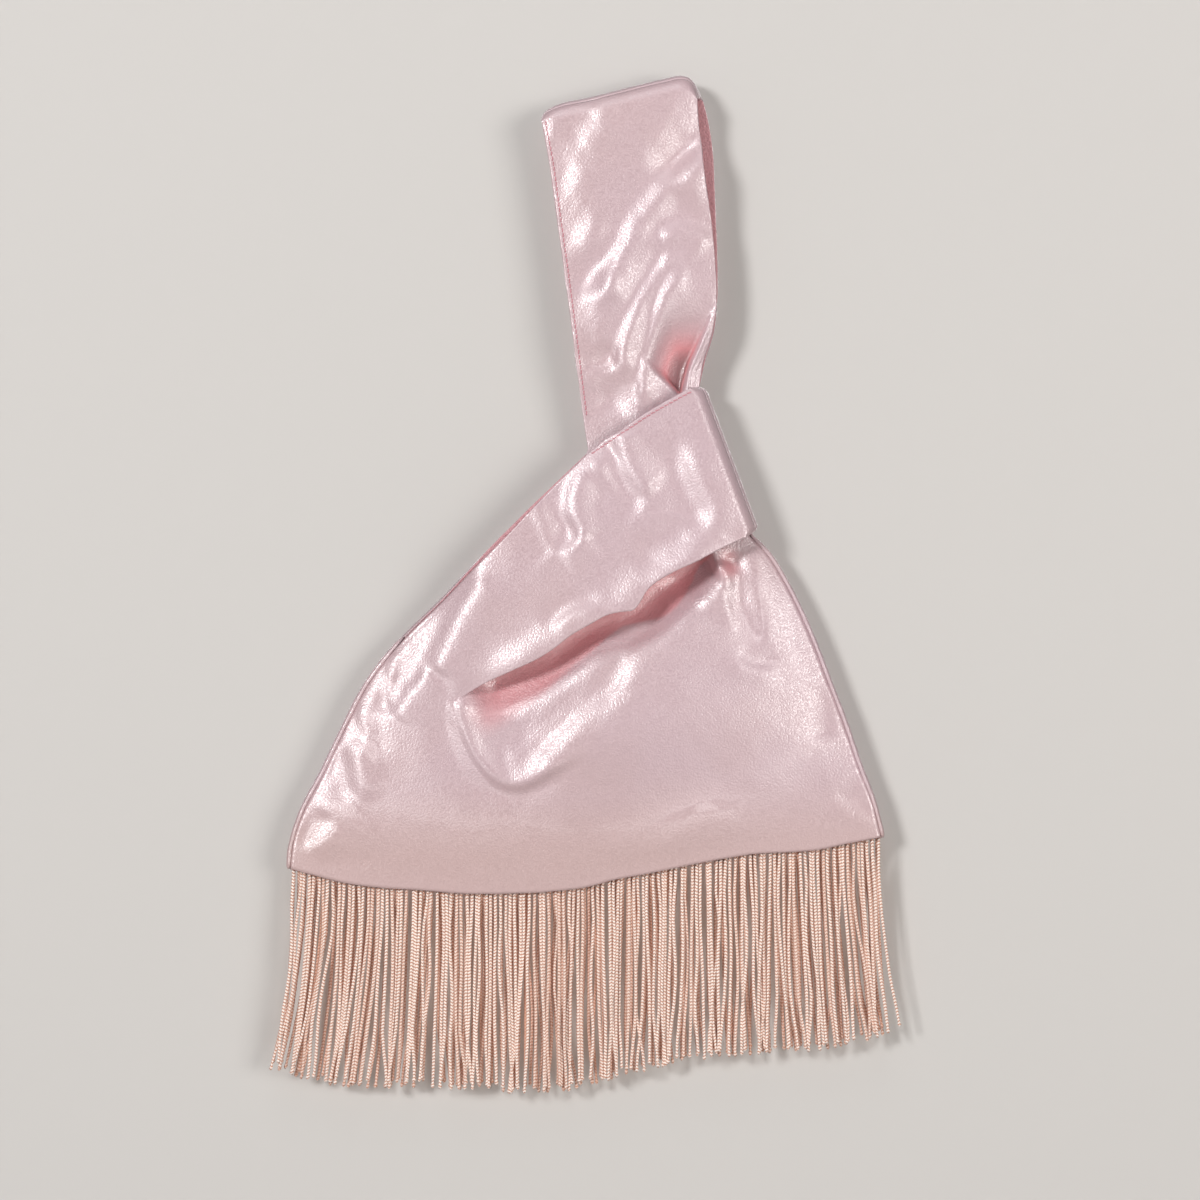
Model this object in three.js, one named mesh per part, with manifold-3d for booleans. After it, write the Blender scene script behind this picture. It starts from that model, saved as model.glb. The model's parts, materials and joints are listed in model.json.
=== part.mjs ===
// A satin knot bag with a fringed hem: two soft panels whose short loop, on the left,
// wraps round the neck of the long loop, on the right, and so closes the bag.
// Millimetres, +Z up. The bag hangs in the XZ plane with its front towards -Y, and the
// origin is the point inside the top of the long loop where a hook or a wrist carries it.
import * as THREE from "three";
import { mergeVertices } from "three/addons/utils/BufferGeometryUtils.js";
import Module from "manifold-3d";

const wasm = await Module();
wasm.setup();

// Driving dimensions
const bagWidth = 255; // along the hem, between the side seams
const bagHeight = 222; // from the hem's lowest point to the top of the short loop
const strapWidth = 66; // the long loop's strap, laid flat
const handleDrop = 140; // from the hook point to the middle of the short loop's upper edge
const handleLean = 12.2; // how far the knot lies to the right of the hook point
const fringeLength = 85;

// Cloth: each wall is a satin outer, an interlining and a lining
const outerThickness = 0.6;
const interliningThickness = 0.5;
const liningThickness = 0.6;
const plyGap = 0.3; // between two layers that lie on each other
const wallThickness = outerThickness + interliningThickness + liningThickness + 2 * plyGap;
const halfWall = wallThickness / 2;

// How far the middle of the front wall stands in front of the bag's middle plane
const tapeThickness = 1; // the fringe's header tape, between the two walls at the hem
const hemDepth = tapeThickness / 2 + plyGap + halfWall;
const edgeDepth = plyGap + halfWall; // at a seam, where front meets back
const notchDepth = 9.5; // at the bottom of the mouth's curve
const mouthDepth = 15; // along the short loop's lower edge
const loopDepth = 13; // along the short loop's upper edge
const pocketSwell = 5; // what the left half of the body swells beyond its edges
const loopSwell = 1.5; // the same for the short loop
const bodySwell = 8; // and for the right half
const shoulderSwell = 1;
const shoulderDepth = 6.5; // the long strap's shoulder, under the short loop
const neckDepth = 2.4; // the same strap where it leaves the short loop
const backShare = 0.8; // the back swells less than the front
const wallPlane = 9.8; // the flat that the back rests on, behind the middle plane
const loopEndRise = 5; // the short loop's round end, beyond the panels

// Where along a panel half those depths change, as shares of its length from the hem
const hemShare = 0.2;
const seamTopShare = 0.375; // the top of the left side seam
const loopStartShare = 0.72;
const mouthShare = 0.3;
const shoulderShare = 0.25;
const rightSeamShare = 0.69; // the top of the right side seam
const swellShare = 0.35;

// The hinge line, where the handle folds over the short loop's upper edge
const hingeRise = 7; // above that edge
const knuckleRadius = 3.4;
const hingeClearance = 0.3;

// The long loop
const handleSwell = 9.5; // the strap's middle, in front of the middle plane
const handleFlank = 7.5; // its two edges
const pinchLength = 44; // over which the two straps spread apart, from the hinge line up
const handleTopRise = 6; // the round top, beyond the front strap's end
const backStrapShare = 1.03; // the back strap is a little wider than the front one

// The fringe
const sectionCount = 12;
const strandsPerSection = 10;
const strandDiameter = 1.6;
const hemInset = 2; // the fringe starts and ends this far inside the hem's corners
const sectionGap = 0.5;
const headerHeight = 4; // the header that the strands are chained to
const headerThickness = 1.8; // its top edge is round, and rolls under the hem
const fringeDrop = 0.9; // between the hem and the header
const strandStart = 3.5; // the strands' upper ends, below the header's top edge
const strandStagger = 0.3; // every other strand hangs this far behind the middle, or before it
const fringeSpreadLeft = 10; // how far the outermost strands stray outwards
const fringeSpreadRight = 6.5;
const fringeSpreadShare = 0.4; // of the hem's length, where they start to stray

// The header tape's part inside the hem
const tapeHeight = 7;
const tapeInset = 9;

// Rolled side seams
const seamRoll = 2.5; // beyond the panels
const seamCorner = 0.8; // their rounding

// Topstitching, in a thread laid along the edges
const stitchInset = 2.5;
const threadDiameter = 0.5;
const threadGap = 0.4;

// Divisions of the meshes
const joinSteps = 6;
const outlineSteps = 12;
const loopTopSteps = 4;
const acrossLoop = 6;
const acrossBody = 7;
const shoulderSteps = 7;
const handleSteps = 12;
const acrossHandle = 5;
const foldSteps = 6;
const headerSteps = 4;
const strandSteps = 2;
const knuckleSides = 24;

const satin = { color: 0xdcb4b8, roughness: 0.32, metalness: 0 };
const liningSatin = { color: 0xd79ea4, roughness: 0.45, metalness: 0 };
const interliningWhite = { color: 0xeee8e4, roughness: 0.9, metalness: 0 };
const fringeSilk = { color: 0xe0bba8, roughness: 0.5, metalness: 0 };
const threadPink = { color: 0xd98f9a, roughness: 0.6, metalness: 0 };

// The body's outlines, as shares of bagWidth and bagHeight from the hem's left corner
const notchShares = [0.279, 0.376];
const loopCornerShares = [0.507, 0.869];
const loopEndTopShares = [0.676, 0.981];
const loopEndBottomShares = [0.771, 0.705];
const hemLeftShares = [0, 0.047];
const hemRightShares = [1, 0.11];
const hemJoinShares = [0.423, 0.004];
const leftOutlineShares = [
  hemLeftShares, [0.005, 0.104], [0.024, 0.172], [0.054, 0.241], [0.098, 0.346], [0.133, 0.419],
  [0.185, 0.495], [0.254, 0.573], [0.355, 0.689], [0.429, 0.783], loopCornerShares,
];
const loopTopShares = [loopCornerShares, [0.603, 0.941], loopEndTopShares];
const mouthCurveShares = [
  notchShares, [0.327, 0.405], [0.411, 0.45], [0.458, 0.485], [0.51, 0.528], [0.557, 0.55],
  [0.578, 0.554], [0.608, 0.597], [0.648, 0.632], [0.721, 0.669], loopEndBottomShares,
];
const joinLineShares = [
  hemJoinShares, [0.406, 0.084], [0.372, 0.182], [0.318, 0.247], [0.288, 0.309], notchShares,
];
const innerEdgeShares = [notchShares, [0.338, 0.495], [0.414, 0.652], [0.473, 0.769], loopCornerShares];
const rightOutlineShares = [
  hemRightShares, [0.968, 0.237], [0.938, 0.346], [0.887, 0.495], [0.847, 0.593], [0.805, 0.662],
  [0.768, 0.711], [0.74, 0.789], [0.705, 0.906],
];
const neckWidthShare = 0.97; // of the short loop's upper edge, from its corner
const hemLeftHalfShares = [
  hemLeftShares, [0.061, 0.028], [0.152, 0.01], [0.261, 0.001], [0.345, 0], hemJoinShares,
];
const hemRightHalfShares = [
  hemJoinShares, [0.524, 0.018], [0.616, 0.041], [0.766, 0.07], [0.894, 0.086], hemRightShares,
];
const neckShares = [0.599, 0.9345]; // the knot, over which the hook point lies

// The handle's edges, as shares of strapWidth and handleDrop from the hook point
const handleLeftShares = [[-0.197, -1.102], [-0.35, -0.6], [-0.5, -0.096]];
const handleRightShares = [
  [0.514, -0.885], [0.612, -0.761], [0.659, -0.606], [0.626, -0.326], [0.556, -0.08], [0.5, 0.024],
];

const smooth = (t) => {
  const c = Math.min(1, Math.max(0, t));
  return c * c * (3 - 2 * c);
};
const mix = (a, b, t) => a + (b - a) * t;
const arch = (t) => 4 * t * (1 - t);

// A point of the body or of the handle in the XZ plane, from its shares
const bodyPoint = ([across, up]) => new THREE.Vector3(
  handleLean + (across - neckShares[0]) * bagWidth, 0, (up - neckShares[1]) * bagHeight - handleDrop,
);
const handlePoint = ([across, up]) => new THREE.Vector3(across * strapWidth, 0, up * handleDrop);

// Evenly spaced points along a smooth line
function along(points, steps) {
  const curve = new THREE.CatmullRomCurve3(points, false, "centripetal");
  return Array.from({ length: steps + 1 }, (_, i) => curve.getPointAt(i / steps));
}

// A sheet between four edges: rows are its first and last rows, and sides its first and last
// columns. depth(s, v) says how far in front of the middle plane a point stands.
function sheet(rows, sides, depth) {
  const n = sides[0].length - 1;
  const m = rows[0].length - 1;
  const point = (i, j) => {
    const s = i / n;
    const v = j / m;
    const place = (k) => mix(sides[0][i][k], sides[1][i][k], v) + mix(rows[0][j][k], rows[1][j][k], s)
      - mix(mix(sides[0][0][k], sides[1][0][k], v), mix(sides[0][n][k], sides[1][n][k], v), s);
    return new THREE.Vector3(place("x"), -depth(s, v), place("z"));
  };
  return sides[0].map((_, i) => rows[0].map((__, j) => point(i, j)));
}

// A closed solid from its corners and triangles, whichever way round those are
function solidFrom(positions, triangles) {
  const geometry = new THREE.BufferGeometry();
  geometry.setAttribute("position", new THREE.Float32BufferAttribute(positions, 3));
  geometry.setIndex(triangles);
  return solidOf(geometry);
}

function solidOf(geometry) {
  const bare = geometry.toNonIndexed();
  bare.deleteAttribute("normal");
  bare.deleteAttribute("uv");
  const merged = mergeVertices(bare);
  const corners = merged.attributes.position.array;
  const triangles = new Uint32Array(merged.index.array);
  const made = new wasm.Manifold(new wasm.Mesh({ numProp: 3, vertProperties: corners, triVerts: triangles }));
  if (made.volume() > 0) return made;
  const turned = triangles.slice().reverse();
  return new wasm.Manifold(new wasm.Mesh({ numProp: 3, vertProperties: corners, triVerts: turned }));
}

// A layer of cloth over a sheet, from inner to outer along Y
function layer(grid, inner, outer) {
  const n = grid.length - 1;
  const m = grid[0].length - 1;
  const positions = [];
  const triangles = [];
  for (const offset of [inner, outer]) {
    grid.flat().forEach((point) => positions.push(point.x, point.y - offset, point.z));
  }
  const at = (side, i, j) => side * (n + 1) * (m + 1) + i * (m + 1) + j;
  const quad = (a, b, c, d) => triangles.push(a, b, c, a, c, d);
  for (let i = 0; i < n; i++) {
    for (let j = 0; j < m; j++) {
      triangles.push(at(0, i, j), at(0, i, j + 1), at(0, i + 1, j + 1));
      triangles.push(at(0, i, j), at(0, i + 1, j + 1), at(0, i + 1, j));
      triangles.push(at(1, i, j), at(1, i + 1, j + 1), at(1, i, j + 1));
      triangles.push(at(1, i, j), at(1, i + 1, j), at(1, i + 1, j + 1));
    }
  }
  for (let i = 0; i < n; i++) {
    quad(at(0, i, 0), at(0, i + 1, 0), at(1, i + 1, 0), at(1, i, 0));
    quad(at(0, i + 1, m), at(0, i, m), at(1, i, m), at(1, i + 1, m));
  }
  for (let j = 0; j < m; j++) {
    quad(at(0, 0, j + 1), at(0, 0, j), at(1, 0, j), at(1, 0, j + 1));
    quad(at(0, n, j), at(0, n, j + 1), at(1, n, j + 1), at(1, n, j));
  }
  return solidFrom(positions, triangles);
}

// A bar through rings of corners, each ring in the same order
function bar(rings) {
  const sides = rings[0].length;
  const positions = rings.flatMap((ring) => ring.flatMap((point) => point.toArray()));
  const triangles = [];
  for (let i = 0; i < rings.length - 1; i++) {
    for (let k = 0; k < sides; k++) {
      const a = i * sides + k;
      const b = i * sides + ((k + 1) % sides);
      triangles.push(a, b, b + sides, a, b + sides, a + sides);
    }
  }
  const last = (rings.length - 1) * sides;
  const caps = THREE.ShapeUtils.triangulateShape(flatten(rings[0]), []);
  caps.forEach(([a, b, c]) => triangles.push(a, c, b));
  const endCaps = THREE.ShapeUtils.triangulateShape(flatten(rings[rings.length - 1]), []);
  endCaps.forEach(([a, b, c]) => triangles.push(last + a, last + b, last + c));
  return solidFrom(positions, triangles);
}

// A flat ring of corners drawn in its own plane, anticlockwise
function flatten(ring) {
  const middle = ring.reduce((sum, point) => sum.add(point), new THREE.Vector3()).divideScalar(ring.length);
  const normal = new THREE.Vector3();
  ring.forEach((point, k) => {
    const next = ring[(k + 1) % ring.length];
    normal.add(point.clone().sub(middle).cross(next.clone().sub(middle)));
  });
  normal.normalize();
  const right = ring[1].clone().sub(ring[0]).normalize();
  const up = normal.clone().cross(right);
  return ring.map((point) => {
    const offset = point.clone().sub(middle);
    return new THREE.Vector2(offset.dot(right), offset.dot(up));
  });
}

const group = new THREE.Group();

function addPart(name, solid, look) {
  const made = solid.getMesh();
  const geometry = new THREE.BufferGeometry();
  geometry.setAttribute("position", new THREE.BufferAttribute(new Float32Array(made.vertProperties), 3));
  geometry.setIndex(new THREE.BufferAttribute(new Uint32Array(made.triVerts), 1));
  geometry.computeVertexNormals();
  const mesh = new THREE.Mesh(geometry, new THREE.MeshStandardMaterial(look));
  mesh.name = name;
  group.add(mesh);
}

// The three plies of a wall: where each lies, from the middle of the wall outwards
const plies = [
  { name: "outer", inner: halfWall - outerThickness, outer: halfWall, look: satin },
  {
    name: "interlining",
    inner: liningThickness + plyGap - halfWall,
    outer: halfWall - outerThickness - plyGap,
    look: interliningWhite,
  },
  { name: "lining", inner: -halfWall, outer: liningThickness - halfWall, look: liningSatin },
];
const mirrored = (solid) => solid.mirror([0, 1, 0]);

// The hinge line: parallel to the short loop's upper edge, and above it
const loopTop = [loopCornerShares, loopEndTopShares].map(bodyPoint);
const hingeTilt = Math.atan2(loopTop[1].z - loopTop[0].z, loopTop[1].x - loopTop[0].x);
const hingeFrame = new THREE.Matrix4().makeRotationY(-hingeTilt);
const hingeUp = new THREE.Vector3(0, 0, 1).applyMatrix4(hingeFrame);
const hingePoint = loopTop[0].clone().lerp(loopTop[1], 1 / 2).addScaledVector(hingeUp, hingeRise);
hingeFrame.setPosition(hingePoint);

// What the handle may fill: all above the hinge line, and a round knuckle on it
function handleSpace() {
  const reach = bagWidth + bagHeight + handleDrop;
  const above = new THREE.BoxGeometry(2 * reach, 2 * reach, reach);
  above.translate(0, 0, reach / 2);
  above.applyMatrix4(hingeFrame);
  const knuckle = new THREE.CylinderGeometry(knuckleRadius, knuckleRadius, 2 * strapWidth, knuckleSides);
  knuckle.rotateZ(Math.PI / 2);
  knuckle.applyMatrix4(hingeFrame);
  return solidOf(above).add(solidOf(knuckle));
}

// The depth along the line where a panel's two halves are one cloth, from the hem to the notch
function joinDepth(t) {
  return mix(hemDepth, notchDepth, Math.sin((Math.PI / 2) * t));
}

// A panel's left half runs from the hem up into the short loop
function leftHalf() {
  const steps = outlineSteps + loopTopSteps;
  const joinShare = joinSteps / steps;
  const depth = (s, v) => {
    const above = smooth((s - joinShare) / mouthShare);
    const seam = mix(hemDepth, edgeDepth, smooth(s / hemShare));
    const outline = mix(seam, loopDepth, smooth((s - seamTopShare) / (loopStartShare - seamTopShare)));
    const inner = s < joinShare ? joinDepth(s / joinShare) : mix(notchDepth, mouthDepth, above);
    const swell = mix(pocketSwell, loopSwell, above) * smooth(s / hemShare);
    return mix(outline, inner, v) + swell * arch(v);
  };
  const join = along(joinLineShares.map(bodyPoint), joinSteps);
  const mouth = along(mouthCurveShares.map(bodyPoint), steps - joinSteps);
  const side = along(leftOutlineShares.map(bodyPoint), outlineSteps);
  const top = along(loopTopShares.map(bodyPoint), loopTopSteps);
  const end = along([loopEndTopShares, loopEndBottomShares].map(bodyPoint), acrossLoop);
  return sheet(
    [along(hemLeftHalfShares.map(bodyPoint), acrossLoop), end],
    [[...side.slice(0, -1), ...top], [...join.slice(0, -1), ...mouth]],
    depth,
  );
}

// A panel's right half runs from the hem up under the short loop, as the long strap's shoulder
function rightHalf() {
  const joinShare = joinSteps / (joinSteps + shoulderSteps);
  const depth = (s, v) => {
    const above = (s - joinShare) / (1 - joinShare);
    const seam = mix(hemDepth, edgeDepth, smooth(s / hemShare));
    const outline = mix(seam, neckDepth, smooth((s - rightSeamShare) / mouthShare));
    const shoulder = mix(mix(notchDepth, shoulderDepth, smooth(above / shoulderShare)), neckDepth, smooth(above));
    const inner = above < 0 ? joinDepth(s / joinShare) : shoulder;
    const swell = mix(bodySwell, shoulderSwell, smooth(above)) * smooth(s / swellShare);
    return mix(inner, outline, v) + swell * arch(v);
  };
  const neckTop = hingeRise - knuckleRadius - hingeClearance;
  const neck = [0, neckWidthShare].map((share) => (
    loopTop[0].clone().lerp(loopTop[1], share).addScaledVector(hingeUp, neckTop)
  ));
  const join = along(joinLineShares.map(bodyPoint), joinSteps);
  const inner = along([...innerEdgeShares.slice(0, -1).map(bodyPoint), neck[0]], shoulderSteps);
  const outline = along([...rightOutlineShares.map(bodyPoint), neck[1]], joinSteps + shoulderSteps);
  return sheet(
    [along(hemRightHalfShares.map(bodyPoint), acrossBody), along(neck, acrossBody)],
    [[...join.slice(0, -1), ...inner], outline],
    depth,
  );
}

// The matching sheet of the back: it swells less, and is flat where it rests on a wall
function backOf(grid) {
  return grid.map((row) => row.map((point) => {
    const depth = Math.min(Math.max(Math.min(-point.y, hemDepth), -point.y * backShare), wallPlane);
    return new THREE.Vector3(point.x, -depth, point.z);
  }));
}

// A round end in one ply: it carries the back wall on over the edge and down to the front
// wall's end, where a seam joins them
function fold(frontEnd, backEnd, rise, ply) {
  const run = frontEnd[frontEnd.length - 1].clone().sub(frontEnd[0]).setY(0).normalize();
  const outward = new THREE.Vector3(-run.z, 0, run.x);
  const sections = frontEnd.map((front, j) => {
    const middle = (front.y - backEnd[j].y) / 2;
    const half = -(front.y + backEnd[j].y) / 2;
    const ring = (offset) => Array.from({ length: foldSteps + 1 }, (_, k) => {
      const turn = (Math.PI * k) / foldSteps;
      const out = (rise + offset) * Math.sin(turn) + (plyGap * (1 + Math.cos(turn))) / 2;
      const y = middle - (half + offset) * Math.cos(turn);
      return new THREE.Vector3(front.x, y, front.z).addScaledVector(outward, out);
    });
    return [...ring(ply.outer), ...ring(ply.inner).reverse()];
  });
  return bar(sections);
}

// What the short loop fills, with a clearance, where the shoulder passes under it
function loopRoom(grid) {
  return layer(grid.slice(joinSteps), -halfWall - plyGap, halfWall + plyGap);
}

function addPanels(left, right) {
  const backLeft = backOf(left);
  const backRight = backOf(right);
  const ends = [left[left.length - 1], backLeft[backLeft.length - 1]];
  for (const ply of plies) {
    const { inner, outer } = ply;
    const front = layer(left, inner, outer).add(layer(right, inner, outer).subtract(loopRoom(left)));
    addPart(`front_panel_${ply.name}`, front, ply.look);
    const shoulder = layer(backRight, inner, outer).subtract(loopRoom(backLeft));
    const back = mirrored(layer(backLeft, inner, outer).add(shoulder));
    addPart(`back_panel_${ply.name}`, back.add(fold(...ends, loopEndRise, ply)), ply.look);
  }
}

// One side of the long loop, from the hinge line up to its top
function strap(widthShare) {
  const left = along(handleLeftShares.map(handlePoint), handleSteps);
  const right = along(handleRightShares.map(handlePoint), handleSteps);
  right.forEach((point, i) => point.lerpVectors(left[i], point.clone(), widthShare));
  const length = left[0].distanceTo(left[handleSteps]);
  const depth = (s, v) => {
    const spread = smooth((s * length - hingeRise) / pinchLength);
    return mix(edgeDepth, mix(handleFlank, handleSwell, arch(v)), spread);
  };
  const bottom = along([left[0], right[0]], acrossHandle);
  const top = along([left[handleSteps], right[handleSteps]], acrossHandle);
  return sheet([bottom, top], [left, right], depth);
}

function addHandle(front, back) {
  const space = handleSpace();
  for (const ply of plies) {
    const { inner, outer } = ply;
    addPart(`handle_front_${ply.name}`, layer(front, inner, outer).intersect(space), ply.look);
    const top = fold(back[handleSteps], back[handleSteps], handleTopRise, ply);
    const strapBack = mirrored(layer(back, inner, outer)).intersect(space);
    addPart(`handle_back_${ply.name}`, strapBack.add(top), ply.look);
  }
}

// The first rows of one column of a sheet, up to a share of its length
function sideOf(grid, column, share) {
  return grid.slice(0, Math.round(share * (grid.length - 1)) + 1).map((row) => row[column]);
}

// A rolled seam beside the edges of both walls
function addSideSeam(name, edge, side) {
  const rings = edge.map((point, i) => {
    const before = edge[Math.max(0, i - 1)];
    const after = edge[Math.min(edge.length - 1, i + 1)];
    const run = after.clone().sub(before).setY(0).normalize();
    const outward = new THREE.Vector3(side * run.z, 0, -side * run.x);
    const tall = halfWall - point.y;
    const corner = (out, y) => new THREE.Vector3(point.x, y, point.z).addScaledVector(outward, plyGap + out);
    return [
      corner(0, -tall), corner(seamRoll - seamCorner, -tall), corner(seamRoll, seamCorner - tall),
      corner(seamRoll, tall - seamCorner), corner(seamRoll - seamCorner, tall), corner(0, tall),
    ];
  });
  addPart(name, bar(rings), satin);
}

// The hem as a line: its height at any place between the side seams
function hemHeight(hem, x) {
  const next = Math.max(1, hem.findIndex((point) => point.x >= x));
  const [a, b] = [hem[next - 1], hem[next]];
  return mix(a.z, b.z, (x - a.x) / (b.x - a.x));
}

function addTape(hem) {
  const first = hem[0].x + tapeInset;
  const last = hem[hem.length - 1].x - tapeInset;
  const places = [first, ...hem.map((point) => point.x).filter((x) => x > first && x < last), last];
  const rings = places.map((x) => {
    const low = hemHeight(hem, x);
    const corner = (y, z) => new THREE.Vector3(x, y, z);
    return [
      corner(-tapeThickness / 2, low), corner(tapeThickness / 2, low),
      corner(tapeThickness / 2, low + tapeHeight), corner(-tapeThickness / 2, low + tapeHeight),
    ];
  });
  addPart("fringe_tape", bar(rings), fringeSilk);
}

// A header with its rounded top edge, through the given places along the hem
function header(hem, places) {
  const bead = headerThickness / 2;
  return bar(places.map((x) => {
    const top = hemHeight(hem, x) - fringeDrop;
    const corner = (y, z) => new THREE.Vector3(x, y, z);
    const round = Array.from({ length: headerSteps + 1 }, (_, k) => {
      const turn = (Math.PI * k) / headerSteps;
      return corner(bead * Math.cos(turn), top - bead + bead * Math.sin(turn));
    });
    return [...round, corner(-bead, top - headerHeight), corner(bead, top - headerHeight)];
  }));
}

function strand(hem, x, share, y) {
  const top = hemHeight(hem, x) - fringeDrop;
  const leftStray = -fringeSpreadLeft * (1 - smooth(share / fringeSpreadShare));
  const rightStray = fringeSpreadRight * (1 - smooth((1 - share) / fringeSpreadShare));
  const radius = strandDiameter / 2;
  return bar(Array.from({ length: strandSteps + 1 }, (_, k) => {
    const t = k / strandSteps;
    const middle = new THREE.Vector3(
      x + (leftStray + rightStray) * t * t, y * smooth(2 * t), top - mix(strandStart, fringeLength, t),
    );
    return [[-1, 0], [0, -1], [1, 0], [0, 1]].map(([across, depth]) => (
      middle.clone().add(new THREE.Vector3(across * radius, depth * radius, 0))
    ));
  }));
}

function addFringe(hem) {
  const first = hem[0].x + hemInset;
  const length = hem[hem.length - 1].x - hemInset - first;
  const width = (length + sectionGap) / sectionCount;
  const pitch = (width - sectionGap) / strandsPerSection;
  for (let i = 0; i < sectionCount; i++) {
    const low = first + i * width;
    const high = low + width - sectionGap;
    let section = header(hem, [low, (low + high) / 2, high]);
    for (let k = 0; k < strandsPerSection; k++) {
      const x = low + (k + 1 / 2) * pitch;
      const y = k % 2 === 0 ? strandStagger : -strandStagger;
      section = section.add(strand(hem, x, (x - first) / length, y));
    }
    addPart(`fringe_section_${i + 1}`, section, fringeSilk);
  }
}

// A line of stitches laid on the cloth beside one side of a sheet
function addStitches(name, rows, isBack) {
  const radius = threadDiameter / 2;
  const rings = rows.map(([edge, next]) => {
    const across = next.clone().sub(edge);
    const middle = edge.clone().addScaledVector(across, stitchInset / across.length());
    middle.y -= halfWall + threadGap + radius;
    across.setY(0).setLength(radius);
    return [[-1, -1], [1, -1], [1, 1], [-1, 1]].map(([side, out]) => {
      const corner = middle.clone().addScaledVector(across, side);
      corner.y += out * radius;
      return corner;
    });
  });
  const line = bar(rings);
  addPart(name, isBack ? mirrored(line) : line, threadPink);
}

function addAllStitches(left, strapFront, strapBack) {
  const firstRow = Math.ceil((handleSteps * hingeRise) / handleDrop) + 1;
  addStitches("loop_stitches_front", left.slice(outlineSteps), false);
  addStitches("loop_stitches_back", backOf(left).slice(outlineSteps), true);
  addStitches("handle_stitches_front", strapFront.slice(firstRow), false);
  addStitches("handle_stitches_back", strapBack.slice(firstRow), true);
}

// The two walls and their seams
const left = leftHalf();
const right = rightHalf();
addPanels(left, right);
addSideSeam("side_seam_left", sideOf(left, 0, seamTopShare), -1);
addSideSeam("side_seam_right", sideOf(right, acrossBody, rightSeamShare), 1);

// The long loop
const strapFront = strap(1);
const strapBack = strap(backStrapShare);
addHandle(strapFront, strapBack);
addAllStitches(left, strapFront, strapBack);

// The fringe
const hemLine = [...left[0], ...right[0].slice(1)];
addTape(hemLine);
addFringe(hemLine);

export default group;
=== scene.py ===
import json
import math

import bpy
import numpy as np
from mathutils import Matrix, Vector


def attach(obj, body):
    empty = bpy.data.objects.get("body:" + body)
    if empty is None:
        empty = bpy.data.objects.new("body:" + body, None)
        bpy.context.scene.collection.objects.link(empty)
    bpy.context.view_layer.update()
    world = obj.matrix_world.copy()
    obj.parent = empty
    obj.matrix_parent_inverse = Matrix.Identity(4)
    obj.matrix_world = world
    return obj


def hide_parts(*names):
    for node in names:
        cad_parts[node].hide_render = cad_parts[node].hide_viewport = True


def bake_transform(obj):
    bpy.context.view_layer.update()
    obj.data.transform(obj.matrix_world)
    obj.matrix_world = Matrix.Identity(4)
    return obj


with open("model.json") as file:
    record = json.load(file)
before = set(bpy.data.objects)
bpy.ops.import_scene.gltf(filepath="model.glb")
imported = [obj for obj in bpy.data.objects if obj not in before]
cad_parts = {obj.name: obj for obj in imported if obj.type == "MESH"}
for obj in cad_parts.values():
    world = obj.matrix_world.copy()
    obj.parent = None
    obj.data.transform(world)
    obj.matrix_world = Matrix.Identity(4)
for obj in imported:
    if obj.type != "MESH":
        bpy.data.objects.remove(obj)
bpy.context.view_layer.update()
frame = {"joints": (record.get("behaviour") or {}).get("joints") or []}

bl_info = {
    "name": "Satin knot bag",
    "version": (1, 0, 0),
    "blender": (4, 5, 0),
    "location": "3D View > Sidebar > Knot bag",
    "description": "A satin knot bag with a fringed hem, hung from its long loop",
    "category": "Object",
}

# The view: outlines and folds are drawn in view points, PER_MM of them to a millimetre at the
# bag's middle plane, and VIEW_ORIGIN is the hook point's place among them
PER_MM = 2.3
VIEW_ORIGIN = (617.0, 95.0)
VIEW_CENTRE = (600.0, 600.0)
VIEW_SIZE = 1200.0
VIEW_DISTANCE = 1500.0  # of the camera in front of the middle plane, in mm
CAMERA_X = (VIEW_CENTRE[0] - VIEW_ORIGIN[0]) / PER_MM
CAMERA_Z = (VIEW_ORIGIN[1] - VIEW_CENTRE[1]) / PER_MM
WALL_Y = 0.0118  # the wall that the bag hangs on, in metres


# Curves and patches

def spline(points, steps):
    """Evenly spaced places along a smooth line through points."""
    p = np.array(points, float)
    if len(p) == 2:
        return p[0] + (p[1] - p[0]) * np.linspace(0, 1, steps + 1)[:, None]
    p = np.vstack([2 * p[0] - p[1], p, 2 * p[-1] - p[-2]])
    dense = []
    for a, b, c, d in zip(p, p[1:], p[2:], p[3:]):
        t1 = max(np.linalg.norm(b - a), 1e-9) ** 0.5
        t2 = t1 + max(np.linalg.norm(c - b), 1e-9) ** 0.5
        t3 = t2 + max(np.linalg.norm(d - c), 1e-9) ** 0.5
        t = np.linspace(t1, t2, 17)[:-1, None]
        ab = a * (t1 - t) / t1 + b * t / t1
        bc = b * (t2 - t) / (t2 - t1) + c * (t - t1) / (t2 - t1)
        cd = c * (t3 - t) / (t3 - t2) + d * (t - t2) / (t3 - t2)
        abc = ab * (t2 - t) / t2 + bc * t / t2
        bcd = bc * (t3 - t) / (t3 - t1) + cd * (t - t1) / (t3 - t1)
        dense.append(abc * (t2 - t) / (t2 - t1) + bcd * (t - t1) / (t2 - t1))
    dense = np.vstack([*dense, p[-2][None]])
    return respace(dense, steps)


def lengths(line):
    """How far along a line each of its places is."""
    return np.concatenate([[0], np.cumsum(np.linalg.norm(np.diff(line, axis=0), axis=1))])


def along(line, want):
    """The places on a line of straight runs at the wanted lengths."""
    gone = lengths(line)
    return np.stack([np.interp(want, gone, line[:, k]) for k in range(line.shape[1])], -1)


def respace(line, steps):
    """Evenly spaced places along a line of straight runs."""
    return along(line, np.linspace(0, lengths(line)[-1], steps + 1))


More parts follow.
